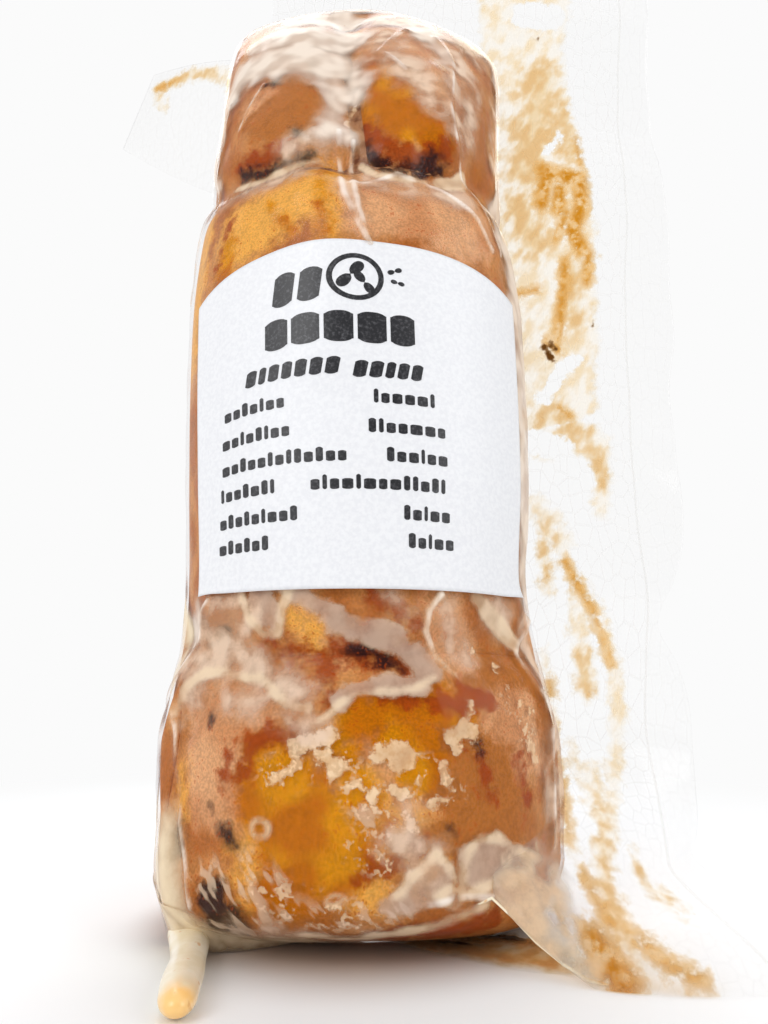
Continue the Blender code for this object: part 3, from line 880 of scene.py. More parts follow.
# ground where small flecks are strewn, and where fine streaks run
FLECKED = (
    (1.8, ((-17, 18.4), (-12, 20.2), (-4, 20), (3, 17.4), (8, 14.4), (12, 15.4))),
    (1.6, ((-18, 8), (-8, 6.4), (2, 5.5))), (1.4, ((18, 19), (24, 17))),
    (1.4, ((46, 26), (52, 22))), (1.4, ((3, 12), (9, 10))),
)
STREAKED = (
    (2.2, ((-34, 8.0), (-27, 7.8), (-20, 5.6))), (1.5, ((-34, 5.4), (-28, 3.2))),
    (1.2, ((-10, 6), (0, 5), (8, 6))), (1.2, ((4, 15), (9, 12))),
    (1.0, ((-23, 10.4), (-16, 8.6))),
)
JUICE = (
    (1.4, ((-53, 13), (-51.5, 10))), (1.9, ((-54, 11), (-51, 7.6), (-46, 4.2), (-41, 2))),
    (2.4, ((-60, 8), (-56, 4), (-50, 2))), (1.8, ((-76, 18), (-72, 6))),
    (2.2, ((-80, 39), (-74, 34))), (1.2, ((-72, 31), (-70, 24))),
    (1.0, ((-36, 1.4), (-20, 1.0), (-8, 1.6))),
)
FILM_STROKES = {
    "cream": CREAM + mirrored(CREAM[:13], 179, 1.2, 0.8),
    "patch": PATCHES + mirrored(PATCHES, 176, 1.2, 1.2),
    "smear": SMEARS + mirrored(SMEARS, 187, 1.2, 1.0) + (
        (3.0, ((160, 70), (172, 58), (168, 50))), (2.4, ((206, 76), (196, 66))),
        (2.0, ((110, 60), (118, 44)))),
    "veil": VEILS + mirrored(VEILS, 180, 1.1, 0.0) + (
        (5.0, ((150, 84), (146, 66))), (5.0, ((220, 52), (204, 42)))),
    "haze": HAZES + mirrored(HAZES[:9], 180, 1.1, 0.0),
    "flecked": FLECKED + mirrored(FLECKED, 180, 1.3, 0.0),
    "streaked": STREAKED + mirrored(STREAKED, 184, 1.2, 0.0),
    "juice": JUICE,
}


def crease_lift(turn, height):
    """The creases, and a slight ripple everywhere, in mm."""
    total = np.zeros(np.shape(turn))
    for lift, spread, route in CREASES:
        close = near_height(height, route, 5.0 * spread)
        distance = line_distance(near_turn(turn[close], route), height[close], route)
        total[close] += lift * bell(distance, spread)
    round_way = np.radians(turn) * MEAN_RADIUS
    ripple = (np.sin(round_way * 0.9 + height * 0.5) + np.sin(round_way * 0.45 - height * 0.8)
              + np.sin(round_way * 1.7 + height * 0.21 + 1.0)) * 0.035
    return (total + ripple) * ease(0.0, 3.0, height) * ease(0.0, 3.0, BODY_TOP - height)


FRONT_BIAS = 22.0       # degrees by which the columns crowd towards the front


def tube_place(across, up):
    turn = 360.0 * (across - 0.5) + FRONT_BIAS * np.sin(2.0 * math.pi * across)
    height = BODY_TOP * up
    return skin(turn, height, crease_lift(turn, height))


SHOULDER_START, SHOULDER_END = 100.0, 116.0   # where the film leans back over the top
FILM_ROUGHNESS = 0.16


def make_film_finish():
    material, tree, place = start_material("bag_film_on_food")
    soft = noise(tree, place, 3.4, 1.0, 0.5)
    torn = noise(tree, place, 1.5, 3.0, 0.62)
    fine = noise(tree, place, 0.42, 0.0)
    streak = noise(tree, place, 1.0, 1.0, 0.55, stretch=(1.0, 1.0, 0.30), turn=(0.0, 0.7, 0.0))
    up = node(tree, "ShaderNodeSeparateXYZ", {"Vector": place}).outputs["Z"]
    calm_share = fade(tree, up, SHOULDER_START * MM, SHOULDER_END * MM)
    uneven = blend(tree, blend(tree, calm_share, 0.35, 0.10), soft, torn)
    calm = blend(tree, blend(tree, calm_share, 0.16, 0.05), soft, torn)
    cream = times(tree, painted_patch(tree, "cream", uneven, 0.26, -0.46, 0.30),
                  fade(tree, soft, 0.36, 0.62, 0.42, 0.80))
    patch = times(tree, painted_patch(tree, "patch", torn, 0.6, -0.24, 0.30),
                  fade(tree, soft, 0.35, 0.65, 0.52, 0.84))
    smear = painted_patch(tree, "smear", uneven, 0.8, -0.40, 0.35)
    thin = times(tree, smear, fade(tree, uneven, 0.36, 0.64, 0.38, 0.70))
    veil = times(tree, painted_patch(tree, "veil", uneven, 0.8, -2.2, 2.0),
                 fade(tree, uneven, 0.38, 0.62, 0.34, 0.84))
    haze = times(tree, painted_patch(tree, "haze", calm, 0.9, -1.8, 1.8),
                 fade(tree, soft, 0.34, 0.66, 0.72, 0.93))
    juice = painted_patch(tree, "juice", uneven, 0.5, -2.0, 2.0, 0.0, 0.90)
    # painted highlight: a white line along each crease
    crease_highlight = times(tree, fade(tree, field(tree, "crease_highlight"), -0.30, 0.16),
                   fade(tree, soft, 0.36, 0.62, 0.05, 0.62))
    grains = blend(tree, 0.25, torn, fine)
    flecks = times(tree, fade(tree, grains, 0.53, 0.60, 0.0, 0.62),
                   fade(tree, field(tree, "flecked"), -1.0, 1.2))
    streaks = times(tree, fade(tree, streak, 0.50, 0.63, 0.0, 0.50),
                    fade(tree, field(tree, "streaked"), -1.2, 1.0))
    cover = either(tree, cream, patch, thin, veil, haze, juice, crease_highlight, flecks, streaks)
    colour = mix(tree, fade(tree, torn, 0.3, 0.7), srgb(220, 178, 132), srgb(238, 208, 170))
    veil_tint = mix(tree, fade(tree, soft, 0.35, 0.65), srgb(220, 182, 150), srgb(236, 208, 182))
    haze_tint = mix(tree, fade(tree, calm, 0.34, 0.66), srgb(232, 210, 190), srgb(242, 226, 210))
    for share, tint in ((smear, srgb(208, 180, 158)), (fade(tree, veil, 0.0, 0.4), veil_tint),
                        (fade(tree, haze, 0.0, 0.5), haze_tint),
                        (streaks, srgb(228, 206, 188)), (cream, srgb(234, 210, 178)),
                        (juice, srgb(240, 222, 190)), (crease_highlight, srgb(255, 250, 244))):
        colour = mix(tree, share, colour, tint)
    clear = node(tree, "ShaderNodeBsdfTransparent")
    fat = node(tree, "ShaderNodeBsdfDiffuse", {"Color": colour})
    gloss = node(tree, "ShaderNodeBsdfGlossy", {"Roughness": FILM_ROUGHNESS})
    inside = over(tree, cover, clear, fat)
    close_material(tree, over(tree, gloss_share(tree, 0.012, 0.36), inside, gloss))
    return material


def paint_film(piece, turn, height):
    for stroke_name, strokes in FILM_STROKES.items():
        write_field(piece, stroke_name, painted(turn, height, strokes))
    write_field(piece, "crease_highlight", painted(turn, height, [(0.25, route)
                                                        for lift, spread, route in CREASES]))


film_finish = make_film_finish()
film_body = new_sheet("film_round_food", 340, 330, tube_place)
edit((bpy.ops.mesh.remove_doubles, {"threshold": 1e-6}), (bpy.ops.mesh.fill_holes, {"sides": 0}),
     (bpy.ops.mesh.normals_make_consistent, {"inside": False}))
film_body.data.shade_smooth()
paint_film(film_body, *on_body(points_of(film_body))[:2])
finish_piece(film_body, film_finish)
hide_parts("pouch")

# %% The corner full of juice
# Under the lower left of the food: step, to the right, forward.
POCKET_FLOOR = ((0, -21.6, -2.0), (1, -21.2, -5.6), (2, -20.4, -8.4), (3, -18.8, -11.4),
                (4, -16.3, -12.9), (5, -12.0, -12.6), (6, -7.8, -10.9), (7, -4.0, -8.8))


def pocket_place(across, up):
    turn = -88.0 + 72.0 * across
    high = skin(turn, 6.5 - 2.5 * across, 0.16)
    step = across * (len(POCKET_FLOOR) - 1)
    low = np.stack([along(POCKET_FLOOR, step, 1), along(POCKET_FLOOR, step, 2),
                    np.full(len(turn), 0.15)], axis=-1)
    way = ease(0.0, 1.0, up)[:, None]
    return high + (low - high) * up[:, None] * (0.35 + 0.65 * way)


pocket = new_sheet("film_juice_corner", 90, 24, pocket_place)
across = np.tile(np.arange(91) / 90.0, 25)
up = np.repeat(np.arange(25) / 24.0, 91)
paint_film(pocket, -88.0 + 72.0 * across, 6.0 * (1.0 - up))
finish_piece(pocket, film_finish)

# %% [markdown]
# ## The empty film
# Beside the food the two layers of the bag are welded flat. One side margin stands out to
# the right, goes up over the food, and swings forward at the foot, where it lies on the
# table as a skirt. It follows the same rule as the frame's margin. Dried juice between the
# layers is painted as residue, with a stronger wash, brown stains and clear holes in it.
# Where the skirt is lifted off the foot, a fine tube follows its edge, painted pale cream as a
# highlight.

# %% The side, the top and the skirt
MARGIN_EDGE = (
    (6.0, 41.4), (9.0, 43.0), (14.0, 43.4), (23.0, 43.9), (30.0, 42.6), (35.5, 39.9),
    (41.0, 42.2), (46.0, 44.2), (53.0, 45.2), (61.0, 45.4), (68.0, 44.8), (77.0, 46.2),
    (94.0, 46.2), (113.0, 46.2), (127.0, 46.2), (139.0, 47.1), (154.0, 47.6),
)
MARGIN_ROOT = 17.0
TOP_MARGIN_LEFT = -14.5
SKIRT_HEIGHT = 22.0
SKIRT_ROOT = (14.6, -17.7)
SKIRT_MID = (27.5, -28.0)
FOLD_LIFT = 6.4           # how high the skirt's lower edge starts on the foot
FOLD_END = 0.30           # part of the way out at which that edge meets the table
SKIRT_END = (49.0, -22.0)
FLOOR_GAP = 0.12          # the lowest edge of the loose film above the table
ONE_LAYER, TWO_LAYERS = 0.1, 0.16


def margin_reach(height):
    """How far to the right the margin starts and ends before the skirt swings."""
    root = MARGIN_ROOT + (TOP_MARGIN_LEFT - MARGIN_ROOT) * ease(117.0, 126.0, height)
    edge = along(MARGIN_EDGE, height, 1)
    return root, edge


def margin_point(part, height):
    """Points of the margin from its root (part 0) to its outer edge (part 1)."""
    root_x, edge_x = margin_reach(height)
    swing = 1.0 - ease(0.0, SKIRT_HEIGHT, height)
    flare = 1.0 - ease(0.0, 7.5, height)

    def lean(start, target, share):
        return start + (target - start) * share

    middle_x = (root_x + edge_x) / 2.0
    corners = ((lean(root_x, SKIRT_ROOT[0], swing), lean(0.0, SKIRT_ROOT[1], swing)),
               (lean(middle_x, SKIRT_MID[0], swing), lean(0.5, SKIRT_MID[1], swing)),
               (lean(edge_x, SKIRT_END[0], flare), lean(1.0, SKIRT_END[1], flare)))
    weights = ((1 - part) ** 2, 2 * part * (1 - part), part ** 2)
    x = sum(weight * corner[0] for weight, corner in zip(weights, corners))
    y = sum(weight * corner[1] for weight, corner in zip(weights, corners))
    wave = 1.1 * np.sin(height / 8.5) + 0.7 * np.sin(height / 4.6 + 2.0)
    fine_wave = 0.25 * np.sin(height / 2.1 + 5.0 * part) * ease(0.5, 0.9, part)
    y = y + (wave * part ** 1.5 + fine_wave) * (1.0 - swing)
    lift = FOLD_LIFT * np.clip(1.0 - part / FOLD_END, 0.0, 1.0) ** 1.1 * swing
    return np.stack([x, y, height + lift], axis=-1)


def margin_place(across, up):
    return margin_point(across, FLOOR_GAP + (FILM_TOP - FLOOR_GAP - 0.05) * up)


def flat_distance(x, z, route):
    """Distance in mm from places to a line of (x, z) points on a flat film."""
    scale = math.degrees(1.0 / MEAN_RADIUS)
    return line_distance(x * scale, z, [(point_x * scale, point_z) for point_x, point_z in route])


def flat_painted(x, z, strokes):
    inside = np.full(np.shape(x), FAR)
    for half_width, route in strokes:
        close = near_height(z, route, half_width - FAR)
        inside[close] = np.maximum(inside[close],
                                   half_width - flat_distance(x[close], z[close], route))
    return inside


# where the residue ends and where the weld runs: height, reach to the right
RESIDUE_EDGE = (
    (0.0, 34.6), (52.7, 35.1), (64.6, 34.3), (77.0, 35.0), (93.7, 35.4), (109.7, 34.4),
    (126.7, 32.6), (138.6, 34.6), (154.0, 34.0),
)
WELD = (
    (1.0, 36.4), (13.0, 37.6), (25.5, 37.9), (36.0, 38.6), (45.6, 38.4), (60.0, 38.8),
    (70.8, 38.9), (83.7, 39.4), (100.7, 40.4), (119.0, 41.1), (138.6, 42.4), (154.0, 43.0),
)
# below the label's middle the residue is left only in streaks and pools
LOW_RESIDUE = (
    (2.4, ((26.0, 60), (30, 62), (34, 60))), (1.6, ((33.4, 62), (34.2, 56), (33.6, 51))),
    (1.5, ((24.5, 52), (26, 48), (28, 46))),
    (1.2, ((27.4, 50), (28.2, 43), (30.6, 39), (32.6, 35.2), (33.8, 30), (34.2, 23.4),
           (33.4, 19), (32.0, 15.4), (30.4, 12))), (1.1, ((25.2, 46), (25.4, 40))),
    (1.5, ((29.8, 40), (29.4, 34))), (1.7, ((29.8, 32), (30.0, 27))),
    (0.6, ((24.6, 32), (25.2, 27), (25.5, 22), (25.8, 16), (25.4, 11), (26.2, 7.6), (26.8, 4.6))),
    (1.5, ((29.6, 17), (29.8, 11), (28.2, 7.6), (27.7, 4.6), (27.2, 2.4))),
    (1.4, ((24.9, 3.6), (25.5, 2.2), (26.3, 0.9))),
    (0.8, ((32.4, 8.8), (32.8, 6.4), (34.0, 5.0))),
    (1.0, ((29.2, 3.2), (29.8, 2.2), (31.0, 1.5))), (0.8, ((27.6, 20), (28.6, 14))),
)
WASH = (
    (3.0, ((29, 122), (27, 112), (25.5, 104))), (2.2, ((32, 116), (33, 108))),
    (2.4, ((24, 98), (26, 92))), (1.6, ((32, 88), (31, 80))), (1.8, ((30, 150), (32, 144))),
    (1.6, ((27, 64.6), (31, 63))), (1.2, ((33.4, 60), (34, 55))), (1.0, ((28.2, 43), (30.6, 39))),
    (1.4, ((30, 31), (30, 27))), (1.1, ((29.4, 12), (27.9, 5))), (0.5, ((32.6, 8), (34, 5.2))),
    (1.2, ((25.5, 48), (25.4, 42))),
)
HOLES = (
    (2.6, ((27.0, 134.0), (30.5, 133.6))), (0.7, ((29.0, 108.2), (31.2, 111.4))),
    (1.1, ((26.4, 67.4), (28.9, 71.0), (31.6, 73.4))), (1.9, ((24.2, 61.0), (28.4, 59.8))),
    (1.9, ((25.4, 56), (31.4, 55.4))), (1.4, ((29.4, 51.6), (31, 49))),
)
STAINS = (
    (1.7, ((28.6, 104.4), (33.2, 103))),
    (1.4, ((33.6, 103), (33.5, 98), (31.9, 94), (33.2, 91.2))),
    (1.3, ((28.4, 103), (27.6, 98.6))), (1.3, ((30.4, 101), (30.0, 97.6))),
    (0.9, ((34.2, 90.2), (33.7, 85.8))),
    (0.8, ((30.6, 88.8), (29.9, 83), (29.4, 78.6), (28.4, 76))), (0.8, ((31.2, 97), (29.6, 93))),
    (0.5, ((33.6, 111), (34, 106))), (0.6, ((23.6, 83.8), (26.2, 84.4))),
    (0.8, ((27.4, 76.2), (29.0, 74.8))), (0.6, ((28.2, 43.6), (30.0, 39.6), (31.6, 36.6))),
    (0.5, ((31.6, 36.6), (33.6, 30))), (0.5, ((25.2, 27.8), (25.3, 26.4))),
    (0.35, ((25.4, 22), (25.9, 15.6), (25.4, 11))),
    (1.4, ((25.2, 3.5), (25.6, 2.2), (26.2, 1.1))),
    (0.6, ((29.0, 3.4), (29.6, 2.2), (30.6, 1.5), (31.5, 1.3))),
    (0.1, ((26.1, 7.3), (26.6, 4.4), (26.7, 1.8))), (0.1, ((22.4, 5.8), (22.9, 4.2))),
    (0.4, ((29.9, 64.9), (28.6, 66))), (0.5, ((26.3, 7.8), (26.9, 4.7))),
    (0.8, ((24.5, 151), (25.5, 147))), (0.9, ((30, 152), (33, 149))),
)
# soft cream on the part of the skirt that rises to the foot
SKIRT_HAZE = (
    (2.4, ((17.6, 2), (19.4, 3.4), (19.2, 7.0))), (1.2, ((20.4, 1.2), (21.4, 3.2))),
    (1.0, ((20.6, 9.4), (21.6, 6.4))), (0.6, ((22.8, 8), (22.9, 4.6), (23.3, 1.8))),
)
BURNT = (
    (0.45, ((26.9, 75.2), (27.9, 73.6))), (0.3, ((27.6, 75.4), (28.6, 75.0))),
    (0.2, ((28.6, 129.4),)), (0.15, ((34.4, 79.6), (34.3, 78.8))),
)


def through_two(red, green, blue):
    """The tint of one wall of film that looks like this colour through both walls."""
    return tuple(math.sqrt(part) for part in srgb(red, green, blue))


NET_SIZE = 1.5            # width of the embossed net's cells


def make_loose_film_finish():
    """Clear film with an embossed net, dried cream residue and brown stains."""
    material, tree, place = start_material("loose_bag_film")
    torn = noise(tree, place, 1.6, 3.0, 0.64)
    feather = noise(tree, place, 1.7, 2.0, 0.5, stretch=(1.0, 1.0, 0.55), turn=(0.0, -0.5, 0.0))
    net_place = node(tree, "ShaderNodeMapping", {"Vector": place, "Scale": (1.0, 1.0, 0.7),
                                                 "Rotation": (-0.9, 0.0, 0.0)})
    net = node(tree, "ShaderNodeTexVoronoi", {"Vector": net_place.outputs[0],
                                              "Scale": 1.0 / (NET_SIZE * MM),
                                              "Randomness": 0.8},
               feature="DISTANCE_TO_EDGE", voronoi_dimensions="2D").outputs["Distance"]
    net_line = fade(tree, net, 0.01, 0.06, 1.0, 0.0)
    kept = painted_patch(tree, "hole", torn, 0.6, -0.3, 0.3, 1.0, 0.0)
    residue = times(tree, kept, painted_patch(tree, "residue", torn, 0.7, -0.5, 1.1))
    wash = times(tree, painted_patch(tree, "wash", feather, 1.3, -1.8, 2.0), residue)
    stain = times(tree, painted_patch(tree, "stain", torn, 0.9, -0.8, 0.8),
                  fade(tree, torn, 0.38, 0.64, 1.0, 0.45))
    stain = times(tree, stain, kept)
    soft = noise(tree, place, 3.0, 1.0, 0.5)
    haze = painted_patch(tree, "haze", soft, 0.6, -1.4, 1.4)
    burnt = painted_patch(tree, "burnt", torn, 0.5, -0.25, 0.25)
    tint = mix(tree, fade(tree, feather, 0.36, 0.68), through_two(254, 249, 240),
               through_two(246, 226, 192))
    tint = mix(tree, wash, tint, mix(tree, fade(tree, feather, 0.34, 0.62),
                                     through_two(244, 220, 180), through_two(232, 192, 134)))
    tint = mix(tree, residue, (1.0, 1.0, 1.0, 1.0), tint)
    tint = mix(tree, stain, tint, mix(tree, fade(tree, torn, 0.4, 0.6),
                                      through_two(204, 126, 8), through_two(226, 160, 60)))
    tint = mix(tree, burnt, tint, through_two(96, 54, 12))
    past_weld = field(tree, "past_weld")
    weld = fade(tree, maths(tree, "ABSOLUTE", past_weld), 0.06, 0.22, 0.12, 0.0)
    up = node(tree, "ShaderNodeSeparateXYZ", {"Vector": place}).outputs["Z"]
    net_share = times(tree, fade(tree, past_weld, -0.6, 0.4, 0.085, 0.03),
                      fade(tree, up, 0.006, 0.020, 0.25, 1.0))
    haze_share = fade(tree, blend(tree, 0.4, soft, torn), 0.36, 0.64, 0.40, 0.84)
    cover = either(tree, times(tree, residue, fade(tree, feather, 0.3, 0.7, 0.04, 0.2)),
                   times(tree, stain, 0.25), times(tree, net_line, net_share),
                   times(tree, haze, haze_share), weld, 0.012)
    surface = mix(tree, residue, srgb(214, 212, 206), tint)
    surface = mix(tree, haze, surface, srgb(246, 226, 198))
    clear = node(tree, "ShaderNodeBsdfTransparent", {"Color": tint})
    front = node(tree, "ShaderNodeBsdfDiffuse", {"Color": surface})
    lit = node(tree, "ShaderNodeBsdfTranslucent", {"Color": surface})
    gloss = node(tree, "ShaderNodeBsdfGlossy", {"Roughness": FILM_ROUGHNESS})
    inside = over(tree, cover, clear, over(tree, 0.5, front, lit))
    close_material(tree, over(tree, gloss_share(tree, 0.01, 0.22), inside, gloss))
    return material


loose_film_finish = make_loose_film_finish()


def paint_loose_film(piece, x, z, residue, past_weld=FAR, **strokes):
    """residue and past_weld are numbers of mm; the others are strokes."""
    write_field(piece, "residue", residue)
    write_field(piece, "past_weld", np.broadcast_to(past_weld, len(x)))
    for name in ("wash", "stain", "hole", "haze", "burnt"):
        write_field(piece, name, flat_painted(x, z, strokes.get(name, ())))


def make_margin():
    columns, rows = 130, 360
    piece = new_sheet("film_side_top_and_skirt", columns, rows, margin_place)
    height = points_of(piece)[:, 2]
    part = np.tile(np.arange(columns + 1) / columns, rows + 1)
    root, edge = margin_reach(height)
    reach = root + (edge - root) * part
    residue = along(RESIDUE_EDGE, height, 1) - reach - 14.0 * ease(66.0, 60.0, height)
    residue = np.minimum(residue, reach - 19.0)
    residue = np.maximum(residue, flat_painted(reach, height, LOW_RESIDUE))
    paint_loose_film(piece, reach, height, residue, reach - along(WELD, height, 1), wash=WASH,
                     stain=STAINS, hole=HOLES, burnt=BURNT, haze=SKIRT_HAZE)
    return give_wall(piece, TWO_LAYERS)


margin = make_margin()
finish_piece(margin, loose_film_finish)

# %% The bright edge of the lifted skirt
# to the right, forward and up
BEAD = ((12.9, -18.4, 6.2), (14.4, -18.1, 6.7), (16.2, -18.7, 5.2), (18.3, -19.6, 3.2),
        (20.6, -20.5, 1.6), (22.8, -21.3, 0.5), (24.6, -22.0, 0.3))


def bead_place(across, up):
    step = up * (len(BEAD) - 1)
    line = np.array(BEAD)
    middle = np.stack([np.interp(step, np.arange(len(line)), line[:, axis])
                       for axis in range(3)], axis=-1)
    radius = 0.15 * np.sqrt(np.clip(np.minimum(up, 1.0 - up) / 0.08, 0.02, 1.0))
    angle = 2.0 * math.pi * across
    return middle + radius[:, None] * np.stack([0.35 * np.cos(angle), 0.9 * np.cos(angle),
                                                np.sin(angle)], axis=-1)


film_edge_highlight = new_sheet("film_edge_painted_highlight", 16, 120, bead_place)
edit((bpy.ops.mesh.remove_doubles, {"threshold": 1e-6}), (bpy.ops.mesh.fill_holes, {"sides": 0}),
     (bpy.ops.mesh.normals_make_consistent, {"inside": False}))
film_edge_highlight.data.shade_smooth()

# %% [markdown]
# The upper left corner of the bag is bent back. The lower margin lies flat on the table
# between the foot and the skirt, with brown juice dried in it.


# %% The bent corner and the film on the table
def flap_place(across, up):
    low_root, high_root = np.array((-19.5, 3.0, 101.0)), np.array((-16.5, 2.2, 127.0))
    low_out, high_out = np.array((-42.5, 14.0, 119.5)), np.array((-38.5, 15.0, 136.0))
    across, up = across[:, None], up[:, None]
    low = low_root + (low_out - low_root) * across
    high = high_root + (high_out - high_root) * across
    bow = np.sin(math.pi * across) * (1.2 - 2.2 * up)
    return low + (high - low) * up + bow * np.array((0.0, 1.0, 0.0))


# the front edge of the film on the table: to the right, forward
FLOOR_FILM_EDGE = ((2.0, -8.0), (5.5, -10.6), (8.4, -13.3), (12.3, -16.1), (16.9, -18.2),
                   (24.0, -19.6))
FLOOR_FILM_BACK = -5.5


def floor_film_place(across, up):
    left, right = FLOOR_FILM_EDGE[0][0], FLOOR_FILM_EDGE[-1][0]
    x = left + (right - left) * across
    y = FLOOR_FILM_BACK + (along(FLOOR_FILM_EDGE, x, 1) - FLOOR_FILM_BACK) * up
    ripple = 0.12 * (1.0 + np.sin(x / 2.3 + y / 5.0))
    return np.stack([x, y, 0.2 + ripple], axis=-1)


flap = new_sheet("film_bent_corner", 60, 60, flap_place)
spots = points_of(flap)
band = flat_painted(spots[:, 0], spots[:, 2],
                    ((1.5, ((-37, 131.4), (-30, 130.6), (-24, 127.6), (-20, 124))),
                     (1.0, ((-37, 131), (-35, 126))), (1.6, ((-21, 126), (-20.4, 112)))))
paint_loose_film(flap, spots[:, 0], spots[:, 2], band, 5.0,
                 wash=((1.8, ((-37, 131.6), (-31, 130.4), (-26, 128.6))),
                       (1.0, ((-21.4, 124), (-21, 116)))),
                 stain=((0.5, ((-37, 131.6), (-33, 131))),))
finish_piece(give_wall(flap, TWO_LAYERS), loose_film_finish)

floor_film = new_sheet("film_on_table", 90, 60, floor_film_place)
spots = points_of(floor_film)
pool = flat_painted(spots[:, 0], spots[:, 1], ((4.0, ((9, -10), (14, -12), (22, -15))),))
paint_loose_film(floor_film, spots[:, 0], spots[:, 1], pool, 5.0,
                 wash=((2.4, ((8, -11), (14, -13), (20, -15))),),
                 stain=((1.1, ((9, -9.4), (13, -8.8), (17, -9.0), (20, -10.6))),),
                 burnt=((0.6, ((12, -7.6), (15.5, -7.8), (18.6, -9.4))),
                        (0.25, ((9, -10.2), (13, -11)))))
finish_piece(give_wall(floor_film, ONE_LAYER), loose_film_finish)

# %% [markdown]
# ## The juice tail
# The lower left corner of the bag is a narrow tip, swollen with cream coloured juice that
# turns orange at the end. A ball with many rings is stretched into it.


# %% The tail of juice
def make_tail():
    root, tip = np.array((-17.8, -10.2)), np.array((-13.2, -30.2))
    bpy.ops.object.select_all(action="DESELECT")
    bpy.ops.mesh.primitive_uv_sphere_add(segments=48, ring_count=60, radius=1.0)
    piece = take_new("juice_tail")
    ball = points_of(piece) * MM
    part = np.arccos(np.clip(ball[:, 2], -1, 1)) / math.pi
    length = np.linalg.norm(tip - root)
    axis = (tip - root) / length
    side = np.array((-axis[1], axis[0]))
    angle = np.arctan2(ball[:, 1], ball[:, 0])
    end = np.sqrt(np.clip(1.0 - np.maximum((part - 0.86) / 0.14, 0.0) ** 2, 0.0, 1.0))
    end = end * np.sqrt(np.clip(part / 0.02, 0.0, 1.0))
    waist = 1.0 - 0.10 * bell(part - 0.42, 0.10) + 0.05 * bell(part - 0.7, 0.12)
    half_wide = (2.15 - 0.55 * part) * end * waist
    half_high = (1.5 - 0.2 * part) * end * waist
    bend = 0.35 * np.sin(part * 5.0)
    ground = root + np.outer(part * length, axis) + np.outer(half_wide * np.cos(angle) + bend, side)
    lift = np.maximum(1.35 + half_high * np.sin(angle), 0.08)
    move_points(piece, np.column_stack([ground, lift]))
    write_field(piece, "tip", part)
    return piece


def make_juice_finish():
    material, tree, place = start_material("cream_juice")
    cloud = noise(tree, place, 2.5, 4.0)
    end = maths(tree, "MULTIPLY_ADD", cloud, 0.3, field(tree, "tip"))
    colour = mix(tree, fade(tree, cloud, 0.35, 0.65), srgb(242, 229, 198), srgb(250, 240, 217))
    colour = mix(tree, fade(tree, end, 0.94, 1.14), colour, srgb(252, 204, 128))
    specks = fade(tree, noise(tree, place, 1.1, 2.0), 0.66, 0.72, 0.0, 0.7)
    colour = mix(tree, specks, colour, srgb(226, 168, 92))
    shader = node(tree, "ShaderNodeBsdfPrincipled",
                  {"Base Color": colour, "Roughness": 0.3, "Coat Weight": 0.3,
                   "Coat Roughness": 0.15})
    close_material(tree, shader)
    return material


tail = make_tail()
juice_finish = make_juice_finish()
finish_piece(tail, juice_finish)
# the edge tube takes the pale cream juice finish as a painted highlight along the skirt's edge
finish_piece(film_edge_highlight, juice_finish)

# %% [markdown]
# ## The label
# A white coated paper label is stuck round the front. Its printed words are not copied: a
# plain ring with leaves, and rows of dark blocks as long as the words, stand in their
# place. The paper is a fine sheet with a wall; the print is a flat mesh just off it.

# %% The paper
LABEL_LEFT = (-52.0, -56.0)        # degrees at its foot and at its head
LABEL_RIGHT = (60.5, 59.0)
LABEL_BOTTOM = 37.5
LABEL_TOP = 78.9
LABEL_LEFT_DROOP = 4.0    # how far the upper edge falls towards each side
LABEL_RIGHT_DROOP = 3.0
LABEL_OFF = 0.48          # middle of the paper above the skin
PAPER = 0.16


def label_place(across, up, lift=0.0):
    """Points of the label; both directions run from 0 to 1 over the paper."""
    left = LABEL_LEFT[0] + (LABEL_LEFT[1] - LABEL_LEFT[0]) * up
    right = LABEL_RIGHT[0] + (LABEL_RIGHT[1] - LABEL_RIGHT[0]) * up
    turn = left + (right - left) * across
    aside = 2.0 * across - 1.0
    droop = np.where(aside < 0, LABEL_LEFT_DROOP, LABEL_RIGHT_DROOP)
    height = LABEL_BOTTOM + (LABEL_TOP - droop * np.abs(aside) ** 2.6 - LABEL_BOTTOM) * up
    here = skin(turn, height)
    level = skin(turn + 1.0, height) - skin(turn - 1.0, height)
    upward = skin(turn, height + 0.5) - skin(turn, height - 0.5)
    normal = np.cross(level, upward)
    normal /= np.linalg.norm(normal, axis=1, keepdims=True)
    return here + normal * (LABEL_OFF + np.broadcast_to(lift, len(here)))[:, None]


def make_paper_finish():
    material, tree, place = start_material("label_paper")
    fibre = noise(tree, place, 0.5, 1.0, 0.6)
    colour = mix(tree, fade(tree, fibre, 0.3, 0.7), srgb(228, 229, 233), srgb(235, 236, 239))
    bump = node(tree, "ShaderNodeBump", {"Height": fibre, "Strength": 0.06,
                                         "Distance": 0.0002})
    shader = node(tree, "ShaderNodeBsdfPrincipled",
                  {"Base Color": colour, "Roughness": 0.42, "Specular IOR Level": 0.35,
                   "Normal": bump.outputs[0]})
    close_material(tree, shader)
    return material


label = give_wall(new_sheet("label_sheet", 130, 90, label_place), PAPER)
finish_piece(label, make_paper_finish())
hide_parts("label")
LABEL_RADIUS = 22.6       # of the paper round the body
LABEL_WIDE = (LABEL_RIGHT[1] - LABEL_LEFT[1]) * math.radians(1.0) * LABEL_RADIUS
LABEL_HIGH = LABEL_TOP - LABEL_BOTTOM
print("the label is about", round(LABEL_WIDE, 1), "by", round(LABEL_HIGH, 1), "mm")

# %% [markdown]
# The print is laid out flat, in mm from the label's lower left corner, and then wrapped.
# A word is a row of small blocks, like a word seen from too far to read.

# %% The print
PRINT_LIFT = 0.11
LETTER_GAP = 0.32
SMALL_PRINT = 1.2                   # how high a low letter of the small print is
STEM_WIDE, STEM_RISE = 0.85, 1.4    # narrower letters stand this much taller


